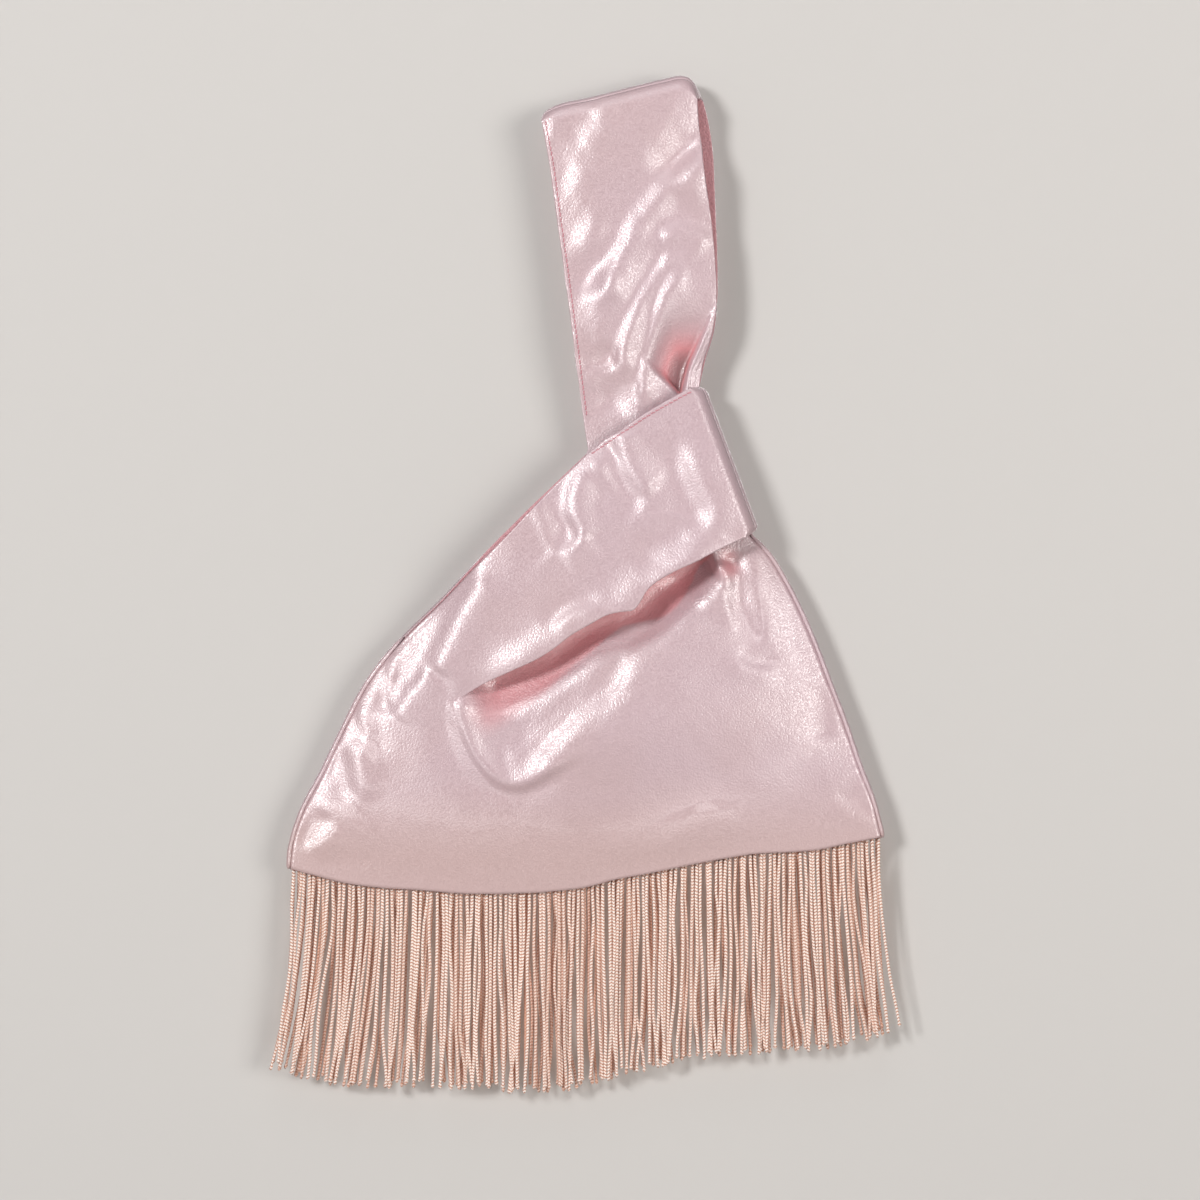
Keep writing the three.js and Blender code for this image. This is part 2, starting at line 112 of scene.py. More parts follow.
def patch(first, last, left, right):
    """A grid of places between four edges: first and last rows, left and right columns."""
    s = np.linspace(0, 1, len(left))[:, None, None]
    v = np.linspace(0, 1, len(first))[None, :, None]
    sides = left[:, None] * (1 - v) + right[:, None] * v
    rows = first[None] * (1 - s) + last[None] * s
    corners = (left[0] * (1 - v) + right[0] * v) * (1 - s) + (left[-1] * (1 - v) + right[-1] * v) * s
    return sides + rows - corners


def smooth(t):
    c = np.clip(t, 0, 1)
    return c * c * (3 - 2 * c)


def mix(a, b, t):
    return a + (b - a) * t


def arch(t):
    return 4 * t * (1 - t)


def place(points, depth):
    """View points at a depth in mm in front of the middle plane, as places in metres."""
    points, depth = np.asarray(points, float), np.asarray(depth, float)
    shrink = (VIEW_DISTANCE - depth) / VIEW_DISTANCE
    x = CAMERA_X + (points[..., 0] - VIEW_CENTRE[0]) / PER_MM * shrink
    z = CAMERA_Z - (points[..., 1] - VIEW_CENTRE[1]) / PER_MM * shrink
    return np.stack([x, -depth, z], -1) / 1000


# Folds: each one is a line on the cloth and what the cloth does beside it

FOLD_STEPS = 18
FOLD_REACH = 2.6  # a fold is left out further off than this many widths, or a lit one's reaches
LIT_SLOPE = 0.48  # of a lit fold with a gain of 1, twice its slope on the line itself


def lit(points, width, gain=1.0, reach=2.6, bias=0.0, ends=(0.3, 0.3)):
    """The cloth rises across the line, from its right hand to its left as it is drawn downwards."""
    return ("lit", points, width, gain, reach, bias, ends)


def crest(points, width, height, ends=(0.3, 0.3)):
    """A rounded ridge of a height in mm, or a groove where that is negative."""
    return ("crest", points, width, height, 0, 0, ends)


def fold_height(points, folds):
    """What the folds add to the depth at each view point, in mm."""
    flat = points.reshape(-1, 2)
    height = np.zeros(len(flat))
    for kind, line, width, amount, reach, bias, ends in folds:
        line = spline(line, FOLD_STEPS)
        far = width * (reach if kind == "lit" else 1) * FOLD_REACH
        near = np.all((flat > line.min(0) - far) & (flat < line.max(0) + far), axis=1)
        at = np.nonzero(near)[0]
        if len(at) == 0:
            continue
        p = flat[at]
        best, signed, gone = np.full(len(at), 1e9), np.zeros(len(at)), np.zeros(len(at))
        for i, (a, b) in enumerate(zip(line, line[1:])):
            run = b - a
            size = np.linalg.norm(run)
            t = np.clip(((p - a) @ run) / size**2, 0, 1)
            off = p - a - t[:, None] * run
            d = np.linalg.norm(off, axis=1)
            side = off @ np.array([run[1], -run[0]]) / size
            closer = d < best
            best[closer] = d[closer]
            signed[closer] = np.where(side >= 0, d, -d)[closer]
            gone[closer] = ((i + t) / (len(line) - 1))[closer]
        taper = np.ones(len(at))
        if ends[0]:
            taper *= smooth(gone / ends[0])
        if ends[1]:
            taper *= smooth((1 - gone) / ends[1])
        if kind == "lit":
            ramp = signed / width
            rise = 0.5 * (ramp / np.sqrt(1 + ramp**2) + bias)
            made = amount * LIT_SLOPE * width / PER_MM * rise * np.exp(-((signed / (reach * width)) ** 2))
        else:
            made = amount * np.exp(-((signed / width) ** 2))
        height[at] += made * taper
    return height.reshape(points.shape[:-1])


def ripple(points, seed, size, height, heading=None, spread=1.0, count=14):
    """Small random waves of about a size in view points, along a heading or along none."""
    rng = np.random.RandomState(seed)
    total = np.zeros(points.shape[:-1])
    for _ in range(count):
        turn = rng.uniform(0, math.pi) if heading is None else heading + rng.uniform(-spread, spread)
        wave = 2 * math.pi / (size * rng.uniform(0.6, 1.7))
        phase = rng.uniform(0, 2 * math.pi)
        bend = rng.uniform(0.3, 1.2)
        slow = 2 * math.pi / (size * rng.uniform(3, 6))
        u = points[..., 0] * math.cos(turn) + points[..., 1] * math.sin(turn)
        w = -points[..., 0] * math.sin(turn) + points[..., 1] * math.cos(turn)
        total += np.sin(u * wave + phase + bend * np.sin(w * slow + phase * 3)) * (
            0.55 + 0.45 * np.sin(w * slow * 1.3 + phase * 5)
        )
    return total * height / math.sqrt(count)


# Outlines, in view points

NOTCH = (453, 703)
HEM_JOIN = (541, 892.6)
HEM_LEFT = [
    (290.5, 869), (317.4, 876.3), (344.2, 883), (378.6, 887.7), (422.6, 890.4), (461, 893.6), (503, 893.8),
    HEM_JOIN,
]
HEM_RIGHT = [
    HEM_JOIN, (586, 887.4), (614, 880), (649.7, 873.4), (685.4, 866), (723.7, 858.8), (757, 853.8),
    (795, 852), (820.6, 849.5), (846, 844), (881, 837.5),
]
LEFT_OUTLINE = [
    (290.5, 869), (293, 845), (304, 811), (324, 773), (350, 719), (370, 682), (402, 641.5), (443, 601),
    (476, 566.5), (506, 536.5), (546, 494.5), (590.5, 450.5),
]
LOOP_TOP = [(590.5, 450.5), (598.6, 444.6), (627, 425.5), (648.6, 411), (677, 395), (690, 388)]
JOIN = [HEM_JOIN, (532, 851), (512, 806), (482, 775), (462, 741), NOTCH]
MOUTH = [
    NOTCH, (483.4, 684), (511.6, 670.9), (535.4, 660), (552.7, 649.4), (570, 636), (589.6, 624.6),
    (609, 614.4), (624.3, 611.6), (633, 610.4), (640.6, 601.3), (647, 590.5), (659, 579.8), (674.2, 571.6),
    (695.9, 561.8), (715.4, 551.6), (746, 537),
]
# The lower edge of the lip's shadow: the mouth's painted shade reaches down to it
MOUTH_SHADE = [
    (453, 712), (483, 727), (505, 718), (527, 704), (548, 688), (570, 668), (592, 651), (609, 636),
    (624, 626), (646, 621), (665, 616), (681, 601), (691, 584), (700, 566), (716, 552),
]
INNER = [NOTCH, (492, 641.4), (536.6, 561.3), (571, 501.5), (588, 449)]
NECK_MIDDLE = (645, 418)
RIGHT_OUTLINE = [
    (881, 837.5), (872, 803), (858, 766), (843, 722), (828, 683), (812, 641), (795, 603), (784, 582),
    (768, 556), (746, 531), (728, 491), (708, 431), (699, 389),
]
STRAP_LEFT = [
    (588, 449), (585, 430), (579, 385), (573, 338), (565, 277), (557, 220), (549.5, 165), (541.5, 121),
]
STRAP_RIGHT = [
    (699, 389), (703, 364), (712.5, 333), (716.5, 300), (716, 274), (713, 234), (709, 203), (704, 167),
    (699, 124), (697.5, 99),
]
STRAP_RIGHT_BACK = [
    (699, 389), (706, 360), (714.5, 331), (717.5, 300), (718, 274), (716.5, 230), (715, 190), (712.5, 148),
    (707.5, 118), (703, 101),
]
STRAP_TOP = [(541.5, 121), (562, 119.5), (590, 114.5), (620, 107), (665, 96), (686, 92.5), (697.5, 97)]

# How far the round ends rise past the panels, in mm, and how far round them the front's seam lies
LOOP_RISE = 6.6
TOP_RISE = 7.4
SEAM_TURN = math.radians(54)

# Depths of a wall's middle in front of the bag's middle plane, in mm, as the solids have them
HEM_DEPTH, SEAM_DEPTH = 1.95, 1.45
NOTCH_DEPTH, MOUTH_DEPTH, LOOP_DEPTH = 9.5, 14, 13
SHOULDER_DEPTH, SHOULDER_END, NECK_DEPTH = 6.0, 5.2, 4.2
PINCH_DEPTH, HANDLE_FLANK, HANDLE_MIDDLE = 4.0, 7.8, 9.6
HALF_WALL = 1.15
BACK_SHARE, BACK_FLAT = 0.8, 9.8
# The long loop above the short one, in mm: its length, its hinge line and where its straps are apart
HANDLE_LENGTH, HINGE_RISE, PINCH_LENGTH = 147, 7, 44

# Rows and columns of the panels' grids, and how far the back's left edge peeks out, in view points
JOIN_ROWS, MOUTH_ROWS, SHOULDER_ROWS, STRAP_ROWS, ARC_ROWS = 74, 126, 88, 124, 16
LEFT_COLUMNS, RIGHT_COLUMNS = 80, 96
LEFT_ROWS, BODY_ROWS = JOIN_ROWS + MOUTH_ROWS, JOIN_ROWS + SHOULDER_ROWS
SIDE_ROWS = LEFT_ROWS * 3 // 4
BACK_PEEK = (-2.4, -2.2)


def settings():
    return bpy.context.scene.knot_bag_sizes, bpy.context.scene.knot_bag_colours


def join_depth(t):
    """Along the line from the hem to the notch, where the two halves of a panel meet."""
    return mix(HEM_DEPTH, NOTCH_DEPTH, np.sin(math.pi / 2 * np.clip(t, 0, 1)))


def side_depth(s, depth, start, length):
    """Along a side: from the hem to the seam, and from the seam's end to another depth."""
    return mix(mix(HEM_DEPTH, SEAM_DEPTH, smooth(s / 0.2)), depth, smooth((s - start) / length))


def left_depth(s, v):
    """The left half, s up from the hem and v from its outline to the mouth."""
    join = JOIN_ROWS / LEFT_ROWS
    above = smooth((s - join) / 0.3)
    inner = np.where(s < join, join_depth(s / join), mix(NOTCH_DEPTH, MOUTH_DEPTH, above))
    roll = 2.4 * (1 - np.exp(-v / 0.045)) * (1 - v) * smooth(s / 0.1) * smooth((0.6 - s) / 0.25)
    swell = mix(1.6, 0.8, above) * smooth(s / 0.2) * arch(v)
    return mix(side_depth(s, LOOP_DEPTH, 0.31, 0.27), inner, v) + swell + roll


def right_depth(s, v):
    """The right half, s up from the hem and v from the shoulder's inner line to the outline."""
    join = JOIN_ROWS / BODY_ROWS
    above = (s - join) / (1 - join)
    shoulder = mix(mix(NOTCH_DEPTH, SHOULDER_DEPTH, smooth(above / 0.25)), SHOULDER_END, smooth(above))
    inner = np.where(above < 0, join_depth(s / join), shoulder)
    swell = mix(8, 1.0, smooth(above)) * smooth(s / 0.35) * arch(v)
    return mix(inner, side_depth(s, NECK_DEPTH, 0.69, 0.3), v) + swell


def strap_depth(s, v):
    """The long loop's strap, s up from its neck and v across it."""
    start = mix(SHOULDER_END, NECK_DEPTH, v) + 1.0 * arch(v)
    pinch = mix(start, PINCH_DEPTH + 0.8 * arch(v), smooth(s * HANDLE_LENGTH / HINGE_RISE))
    spread = smooth((s * HANDLE_LENGTH - HINGE_RISE) / PINCH_LENGTH)
    return mix(pinch, mix(HANDLE_FLANK, HANDLE_MIDDLE, arch(v)), spread)


def grids(back):
    """The view points and outer depths of a panel: its left half, its right half and its strap."""
    outline = np.array(LEFT_OUTLINE, float)
    if back:
        peek = smooth((outline[:, 1] - 470) / 60) * smooth((720 - outline[:, 1]) / 60)
        outline += peek[:, None] * np.array(BACK_PEEK)
    join = spline(JOIN, JOIN_ROWS)
    side = np.vstack([spline(outline, SIDE_ROWS)[:-1], spline(LOOP_TOP, LEFT_ROWS - SIDE_ROWS)])
    inner = np.vstack([join[:-1], spline(MOUTH, MOUTH_ROWS)])
    left = patch(spline(HEM_LEFT, LEFT_COLUMNS), spline([LOOP_TOP[-1], MOUTH[-1]], LEFT_COLUMNS), side, inner)
    inner = np.vstack([join[:-1], spline(INNER, SHOULDER_ROWS)])
    neck = spline([INNER[-1], NECK_MIDDLE, RIGHT_OUTLINE[-1]], RIGHT_COLUMNS)
    right = patch(spline(HEM_RIGHT, RIGHT_COLUMNS), neck, inner, spline(RIGHT_OUTLINE, BODY_ROWS))
    edge = STRAP_RIGHT_BACK if back else STRAP_RIGHT
    top = spline(STRAP_TOP[:-1] + [edge[-1]], RIGHT_COLUMNS)
    strap = patch(neck, top, spline(STRAP_LEFT, STRAP_ROWS), spline(edge, STRAP_ROWS))
    out = []
    for grid, depth_at in ((left, left_depth), (right, right_depth), (strap, strap_depth)):
        s = np.linspace(0, 1, grid.shape[0])[:, None]
        v = np.linspace(0, 1, grid.shape[1])[None]
        depth = depth_at(s, v)
        if back:
            depth = np.minimum(np.maximum(np.minimum(depth, HEM_DEPTH), depth * BACK_SHARE), BACK_FLAT)
        out.append((grid, depth + HALF_WALL))
    return out


def arc(front, back, ahead, behind, rise, turns, fade):
    """Rows of a round end, from the front row's depth over its far side to the back row's."""
    run = front[-1] - front[0]
    out = np.array([run[1], -run[0]]) / np.linalg.norm(run)
    rows, depths = [], []
    for turn in turns:
        share = (1 - math.cos(turn)) / 2
        rows.append(mix(front, back, share) + out * (rise * PER_MM * math.sin(turn) * fade)[:, None])
        depths.append((ahead - behind) / 2 + (ahead + behind) / 2 * math.cos(turn))
    return np.array(rows), np.array(depths)


# The folds, as lines in view points; a fold's other numbers are those of lit and crest

FRONT_LOOP_FOLDS = [
    lit([
        (606, 443), (590, 460), (573, 480), (567, 500), (569, 516), (575, 530), (582, 545),
    ], 10, 2.0, 2.2, ends=(0.1, 0.1)),
    lit([(528, 507), (535, 516), (541, 529), (549, 545), (556, 556)], 8, 1.5, 2.0, ends=(0.12, 0.2)),
    lit([(584, 526), (570, 541), (554, 555)], 15, 1.6, 1.5),
    lit([(612, 432), (618, 454), (626, 473), (638, 490), (652, 502)], 12, 2.3, 1.8, ends=(0.12, 0.2)),
    lit([(590, 458), (596, 472), (604, 486), (618, 498)], 8, 1.2, 1.6),
    lit([(683, 432), (684, 455), (688, 474), (697, 492), (706, 510), (703, 528), (690, 541)], 15, 1.8, 2.0),
    lit([(704, 527), (680, 548), (657, 569), (638, 580)], 15, 1.0, 1.8),
    lit([(590, 506), (615, 522), (645, 535), (672, 545)], 14, 0.55, 2.0),
    lit([
        (482, 566), (472, 580), (464, 595), (453, 612), (442, 636), (433, 653), (425, 671),
    ], 14, 2.0, 2.0, ends=(0.15, 0.1)),
    lit([(428, 664), (416, 679), (406, 690), (398, 705), (390, 722)], 10, 2.0, 2.0, ends=(0.15, 0.2)),
    lit([(427, 665), (440, 674), (449, 685), (458, 698)], 7, 1.2, 2.0),
    lit([(392, 655), (389, 670), (387, 688), (389, 706), (391, 722)], 6, 1.5, 2.2),
    lit([(352, 706), (357, 716), (363, 728), (367, 746)], 8, 1.3, 1.8),
    lit([(346, 736), (348, 756), (352, 775), (358, 806)], 14, 1.8, 1.6),
    lit([(338, 818), (320, 834), (306, 856)], 15, 1.6, 1.4),
    lit([(606, 606), (590, 607), (574, 609), (558, 620), (547, 633)], 9, 1.6, 1.6),
    lit([(548, 642), (525, 646), (500, 660), (480, 674)], 12, 0.55, 1.8),
    crest([
        (470, 690), (511, 671), (552, 649), (589, 625), (624, 611), (647, 590), (696, 562), (740, 540),
    ], 24, 3.0, ends=(0.2, 0.15)),
    crest([(585, 480), (597, 505), (625, 512), (660, 520)], 14, -0.5),
    crest([(545, 490), (548, 510), (556, 526)], 9, -0.35),
    crest([(400, 655), (399, 672), (396, 690)], 6, -0.7),
    crest([(420, 700), (440, 712), (447, 735), (455, 760), (475, 785), (505, 806)], 17, -1.3),
    crest([(372, 690), (375, 730), (383, 770)], 10, -0.7),
    crest([(300, 800), (330, 810), (360, 830), (390, 850)], 9, 0.5),
    crest([(310, 865), (350, 862), (385, 868)], 10, -0.4),
]
FRONT_BODY_FOLDS = [
    lit([
        (453, 700), (455, 720), (462, 739), (471, 757), (484, 774), (499, 785), (516, 789), (530, 786),
        (553, 773), (590, 750),
    ], 6.0, 4.2, 2.2, 0.2, ends=(0.04, 0.3)),
    lit([(540, 730), (516, 752), (496, 776)], 26, 0.5, 1.3),
    lit([
        (716, 552), (703, 577), (676, 614), (653, 634), (637, 644), (629, 658), (622, 677), (610, 696),
        (582, 713), (561, 735), (538, 757), (520, 776),
    ], 13, 1.7, 2.2, ends=(0.05, 0.12)),
    lit([(712, 556), (700, 580), (685, 604)], 20, 1.3, 1.4, ends=(0.1, 0.3)),
    lit([(640, 612), (618, 630), (598, 648), (576, 668), (548, 690), (515, 716)], 17, 1.0, 1.4),
    lit([(600, 690), (572, 702), (545, 722), (520, 745), (505, 765)], 9, 0.6, 1.8),
    lit([(741, 640), (731, 611), (723, 583), (717, 552)], 3.2, 1.8, 3.6, 0.5, ends=(0.3, 0.0)),
    lit([(744, 548), (750, 578), (756, 612), (760, 640), (758, 660)], 12, 1.4, 2.0, ends=(0.1, 0.3)),
    lit([(782, 667), (766, 668), (748, 664), (730, 650)], 8, 1.5, 1.8),
    lit([(842, 690), (834, 712), (838, 742)], 17, 0.9, 1.6),
    lit([(884, 826), (868, 815), (848, 806), (828, 798)], 9, 1.1, 1.8),
    lit([(748, 800), (712, 804), (672, 815), (636, 832)], 20, 0.5, 1.8),
    lit([(700, 640), (660, 662), (640, 690), (600, 730), (560, 765)], 26, 0.35, 1.8),
    crest([
        (468, 722), (500, 722), (540, 704), (580, 680), (620, 654), (660, 622), (690, 590), (712, 562),
    ], 52, -3.5, ends=(0.2, 0.15)),
    crest([
        (460, 700), (484, 690), (512, 677), (553, 656), (590, 630), (625, 616), (641, 606), (660, 586),
        (696, 566), (716, 556),
    ], 27, -8.6, ends=(0.12, 0.04)),
    crest([(560, 800), (620, 780), (690, 760), (760, 755)], 34, -0.7),
    crest([(560, 850), (640, 842), (720, 826), (800, 820)], 20, 0.7),
    crest([(735, 560), (738, 590), (744, 620)], 8, -1.2, ends=(0.0, 0.4)),
]
FRONT_STRAP_FOLDS = [
    lit([
        (703, 146), (682, 163), (664, 178), (649, 199), (632, 220), (622, 239), (614, 257), (607, 275),
        (600, 291), (592, 310),
    ], 11, 1.55, 2.0, ends=(0.08, 0.15)),
    lit([(719, 128), (702, 149), (684, 170), (664, 192)], 19, 2.4, 1.4, ends=(0.0, 0.3)),
    lit([(716, 240), (698, 229), (681, 224), (665, 230), (658, 246)], 11, 1.7, 1.6, ends=(0.15, 0.2)),
    lit([
        (672, 248), (657, 269), (645, 287), (636, 305), (627, 324), (618, 352), (616, 374),
    ], 8, 2.0, 2.2, ends=(0.12, 0.15)),
    lit([
        (684, 262), (667, 284), (659, 301), (654, 319), (649, 339), (643, 361), (639, 384), (640, 410),
    ], 7, 2.5, 2.2, ends=(0.15, 0.15)),
    lit([(624, 344), (616, 364), (619, 386), (629, 414)], 18, 1.7, 1.5),
    lit([(622, 366), (600, 368), (577, 376)], 11, 1.6, 1.5),
    lit([(618, 250), (606, 272), (596, 300)], 16, 1.0, 1.4),
    lit([(644, 376), (632, 398), (620, 424)], 15, 0.8, 1.4),
    lit([(606, 112), (590, 128), (574, 148)], 18, 1.1, 1.3),
    lit([
        (586, 140), (574, 170), (570, 205), (576, 240), (586, 275), (592, 310), (592, 345),
    ], 22, 0.6, 1.3, ends=(0.15, 0.25)),
    lit([(580, 160), (570, 180), (566, 200)], 13, 0.5, 1.3),
    lit([(598, 212), (584, 230), (572, 250)], 15, 0.8, 1.3),
    lit([(608, 258), (594, 280), (580, 304)], 15, 0.8, 1.3),
    lit([(606, 262), (592, 285), (574, 302)], 14, 0.7, 1.5),
    lit([(598, 330), (590, 350), (578, 366)], 8, 0.7, 1.5),
    lit([(556, 112), (550, 122), (545, 142)], 7, 0.9, 1.4),
    crest([(560, 200), (600, 190), (640, 150)], 22, -0.6),
    crest([(600, 320), (612, 290), (630, 255)], 8, -0.35),
    crest([(632, 350), (640, 320), (652, 290)], 6, -0.35),
    crest([(690, 170), (680, 200), (668, 222)], 12, -0.5),
]
BACK_LOOP_FOLDS = [
    lit([(600, 446), (586, 470), (560, 500), (520, 540), (480, 590)], 12, 1.1),
    lit([(660, 420), (640, 460), (600, 500), (560, 560), (520, 620)], 14, 1.0),
    lit([(700, 440), (676, 500), (640, 550), (600, 590)], 16, 0.8),
    lit([(500, 560), (470, 610), (440, 660), (420, 720)], 12, 1.2),
    lit([(460, 640), (430, 700), (410, 760)], 9, 1.0),
    lit([(400, 650), (385, 700), (370, 760)], 9, 1.0),
    lit([(350, 740), (345, 790), (350, 830)], 11, 0.9),
    lit([(300, 810), (320, 830), (350, 852)], 10, 0.9),
    crest([(520, 500), (560, 540), (620, 560)], 16, -0.6),
    crest([(420, 800), (470, 840), (520, 850)], 30, -0.8),
]
BACK_BODY_FOLDS = [
    lit([(700, 560), (660, 610), (620, 680), (560, 740), (520, 790)], 14, 1.3),
    lit([(730, 560), (720, 640), (690, 700), (650, 760)], 13, 1.1),
    lit([(760, 580), (765, 650), (750, 720)], 11, 1.0),
    lit([(640, 630), (590, 680), (540, 710), (500, 740)], 11, 1.0),
    lit([(800, 660), (812, 720), (840, 790)], 14, 0.8),
    lit([(700, 790), (640, 810), (590, 840)], 16, 0.6),
    crest([(470, 700), (540, 660), (620, 612), (700, 560)], 20, -2.6),
    crest([(640, 730), (700, 740), (770, 760)], 26, -0.8),
]
BACK_STRAP_FOLDS = [
    lit([(700, 150), (670, 190), (640, 250), (610, 310)], 12, 1.2),
    lit([(714, 230), (690, 270), (660, 320), (640, 390)], 10, 1.3),
    lit([(640, 140), (600, 180), (570, 230)], 13, 1.0),
    lit([(640, 300), (620, 340), (600, 400)], 9, 1.2),
    lit([(700, 300), (690, 340), (670, 390)], 8, 1.2),
    crest([(600, 250), (620, 230), (660, 170)], 16, -0.5),
    crest([(660, 380), (668, 350), (680, 320)], 9, -1.2),
]
FOLDS = {
    "front": (FRONT_LOOP_FOLDS, FRONT_BODY_FOLDS, FRONT_STRAP_FOLDS),
    "back": (BACK_LOOP_FOLDS, BACK_BODY_FOLDS, BACK_STRAP_FOLDS),
}
# The back's folds are deeper, and the wall behind it flattens what would come past this depth
BACK_FOLDS = 1.4
BACK_LIMIT, LIMIT_BEND = 10.6, 2.2
# Columns over which the two halves are evened out beside the line that they share
JOIN_COLUMNS = 14
# Where front and back overlap at their seam, in radians, and the step between them, in mm
SEAM_OVERLAP, SEAM_STEP = 0.06, 0.5


# The pocket at the foot of the front strap: the side of the small triangle beside it, and places
# down the view with the lines of the rolled edge and of that edge's middle
POCKET_DEPTH = 9.0
TRIANGLE = (657, 371), (680.5, 395)
ROLL_LINE = [290, 327, 345, 362, 378, 392, 400], [722, 706, 698, 690, 685, 681.5, 679]
ROLL_MIDDLE = [250, 300, 330, 350, 372, 392], [719, 713, 707, 699, 689, 688]


def side_of(points, a, b):
    """How far points lie to the right of the line from a to b, as seen with y downwards."""
    run = np.array(b, float) - a
    off = points - np.array(a, float)
    return (off[..., 1] * run[0] - off[..., 0] * run[1]) / np.linalg.norm(run)


def pocket(points):
    """The deep fold at the foot of the front strap, between a small triangle and a rolled edge."""
    x, y = points[..., 0], points[..., 1]
    deep = smooth((y - 286) / 96) * smooth((x - 636) / 44)
    beyond = smooth(-side_of(points, *TRIANGLE) / 4 + 0.5)
    return -POCKET_DEPTH * deep * smooth((np.interp(y, *ROLL_LINE) - x) / 6 + 0.5) * beyond


def rolled_edge(points):
    """The right edge of the front strap, rolled over on itself above the short loop."""
    x, y = points[..., 0], points[..., 1]
    off = x - np.interp(y, *ROLL_MIDDLE)
    amount = smooth((y - 285) / 45) * smooth((412 - y) / 16)
    return amount * np.exp(-((off / 7) ** 2)) * (1.4 + 0.18 * np.cos(off / 3.0 * math.pi))


# Meshes

def new_mesh_object(name, vertices, faces, uvs=None):
    mesh = bpy.data.meshes.new(name)
    mesh.from_pydata([tuple(v) for v in vertices], [], faces)
    mesh.update()
    obj = bpy.data.objects.new(name, mesh)
    bpy.context.scene.collection.objects.link(obj)
    for polygon in mesh.polygons:
        polygon.use_smooth = True
    if uvs is not None:
        layer = mesh.uv_layers.new(name="length")
        flat = np.empty(len(mesh.loops) * 2)
        index = np.empty(len(mesh.loops), int)
        mesh.loops.foreach_get("vertex_index", index)
        flat[0::2], flat[1::2] = uvs[index, 0], uvs[index, 1]
        layer.data.foreach_set("uv", flat)
    return obj


def mark(obj, name, values):
    """A number of its own for each of a piece's vertices, which its material reads."""
    layer = obj.data.attributes.new(name, "FLOAT", "POINT")
    layer.data.foreach_set("value", np.asarray(values, np.float32))


def only(obj):
    bpy.ops.object.select_all(action="DESELECT")
    obj.select_set(True)
    bpy.context.view_layer.objects.active = obj


def outward(obj):
    """Faces of a closed piece turned to point outwards."""
    only(obj)
    bpy.ops.object.mode_set(mode="EDIT")
    bpy.ops.mesh.select_all(action="SELECT")
    bpy.ops.mesh.normals_make_consistent(inside=False)
    bpy.ops.object.mode_set(mode="OBJECT")


def give_wall(obj, thickness, inner, rim):
    """A sheet gets its second side, inside, and its edges, with their own materials."""
    only(obj)
    wall = obj.modifiers.new("wall", "SOLIDIFY")
    wall.thickness = thickness
    wall.offset = -1
    wall.material_offset = inner
    wall.material_offset_rim = rim
    bpy.ops.object.modifier_apply(modifier=wall.name)
    for polygon in obj.data.polygons:
        polygon.use_smooth = True


def grid_faces(index, flip):
    a, b, c, d = index[:-1, :-1], index[:-1, 1:], index[1:, 1:], index[1:, :-1]
    quads = np.stack([a, b, c, d] if not flip else [a, d, c, b], -1).reshape(-1, 4)
    return [tuple(int(i) for i in q) for q in quads]


def painted_shade_mask(points):
    """How much painted shade each view point gets, from 0 to 1: under the mouth's lip down to the edge of the
    lip's shadow, in the strap's pocket, and in a spot beside the right pleat.
    """
    x, y = points[..., 0], points[..., 1]
    # Painted shade under the mouth's lip, reaching down to the lower edge of the lip's shadow
    lip, shade = spline(MOUTH, 60), spline(MOUTH_SHADE, 60)
    upper = np.interp(x, lip[:, 0], lip[:, 1])
    lower = np.interp(x, shade[:, 0], shade[:, 1])
    across = (y - upper) / np.maximum(lower - upper, 4)
    soft = 0.16 + 0.5 * smooth((620 - x) / 130)
    deep = 0.69 * smooth((1 + soft / 2 - across) / soft) * (1 - 0.25 * smooth(across))
    deep *= smooth((across + 3) / 2)
    deep *= smooth((x - 455) / 45) * smooth((716 - x) / 14) * mix(0.85, 1, smooth((x - 500) / 80))
    # Painted shade in the strap's pocket, darkest at its foot
    deep += smooth(-pocket(points) / POCKET_DEPTH * 1.1 - 0.08) ** 1.6
    # A spot of painted shade beside the right pleat
    deep += fold_height(points, [crest([(727, 556), (733, 585)], 9, 0.55, ends=(0.0, 0.6))])
    return np.clip(deep, 0, 1)


def cloth(name, sheets, back):
    """One panel's cloth: two sheets of (view points, depths) that share the line from hem to notch."""
    vertices, uvs, painted_shade, index, start = [], [], [], [], 0
    for k, (grid, depth) in enumerate(sheets):
        # The front's right half carries the painted shade of the mouth and the pocket; the other sheets get
        # none
        painted_shade.append((painted_shade_mask(grid) if k == 1 and not back else np.zeros(depth.shape)).ravel())
        vertices.append(place(grid, -depth if back else depth).reshape(-1, 3))
        uvs.append(grid.reshape(-1, 2) / PER_MM / 1000)
        index.append(np.arange(depth.size).reshape(depth.shape) + start)
        start += depth.size
    left, right = index
    right[: JOIN_ROWS + 1, 0] = left[: JOIN_ROWS + 1, -1]
    faces = grid_faces(left, back) + grid_faces(right, back)
    used = np.unique(np.array(faces))
    renumber = np.full(start, -1)
    renumber[used] = np.arange(len(used))
    faces = [tuple(int(renumber[i]) for i in f) for f in faces]
    obj = new_mesh_object(name, np.vstack(vertices)[used], faces, np.vstack(uvs)[used])
    mark(obj, "painted_shade", np.concatenate(painted_shade)[used])
    return obj


def evened(depth, rounds, rows):
    """Depths evened out from row to row, as far as rows says, from 0 to 1."""
    for _ in range(rounds):
        inside = (depth[:-2] + 2 * depth[1:-1] + depth[2:]) / 4
        depth[1:-1] = mix(depth[1:-1], inside, rows[1:-1, None])
    return depth


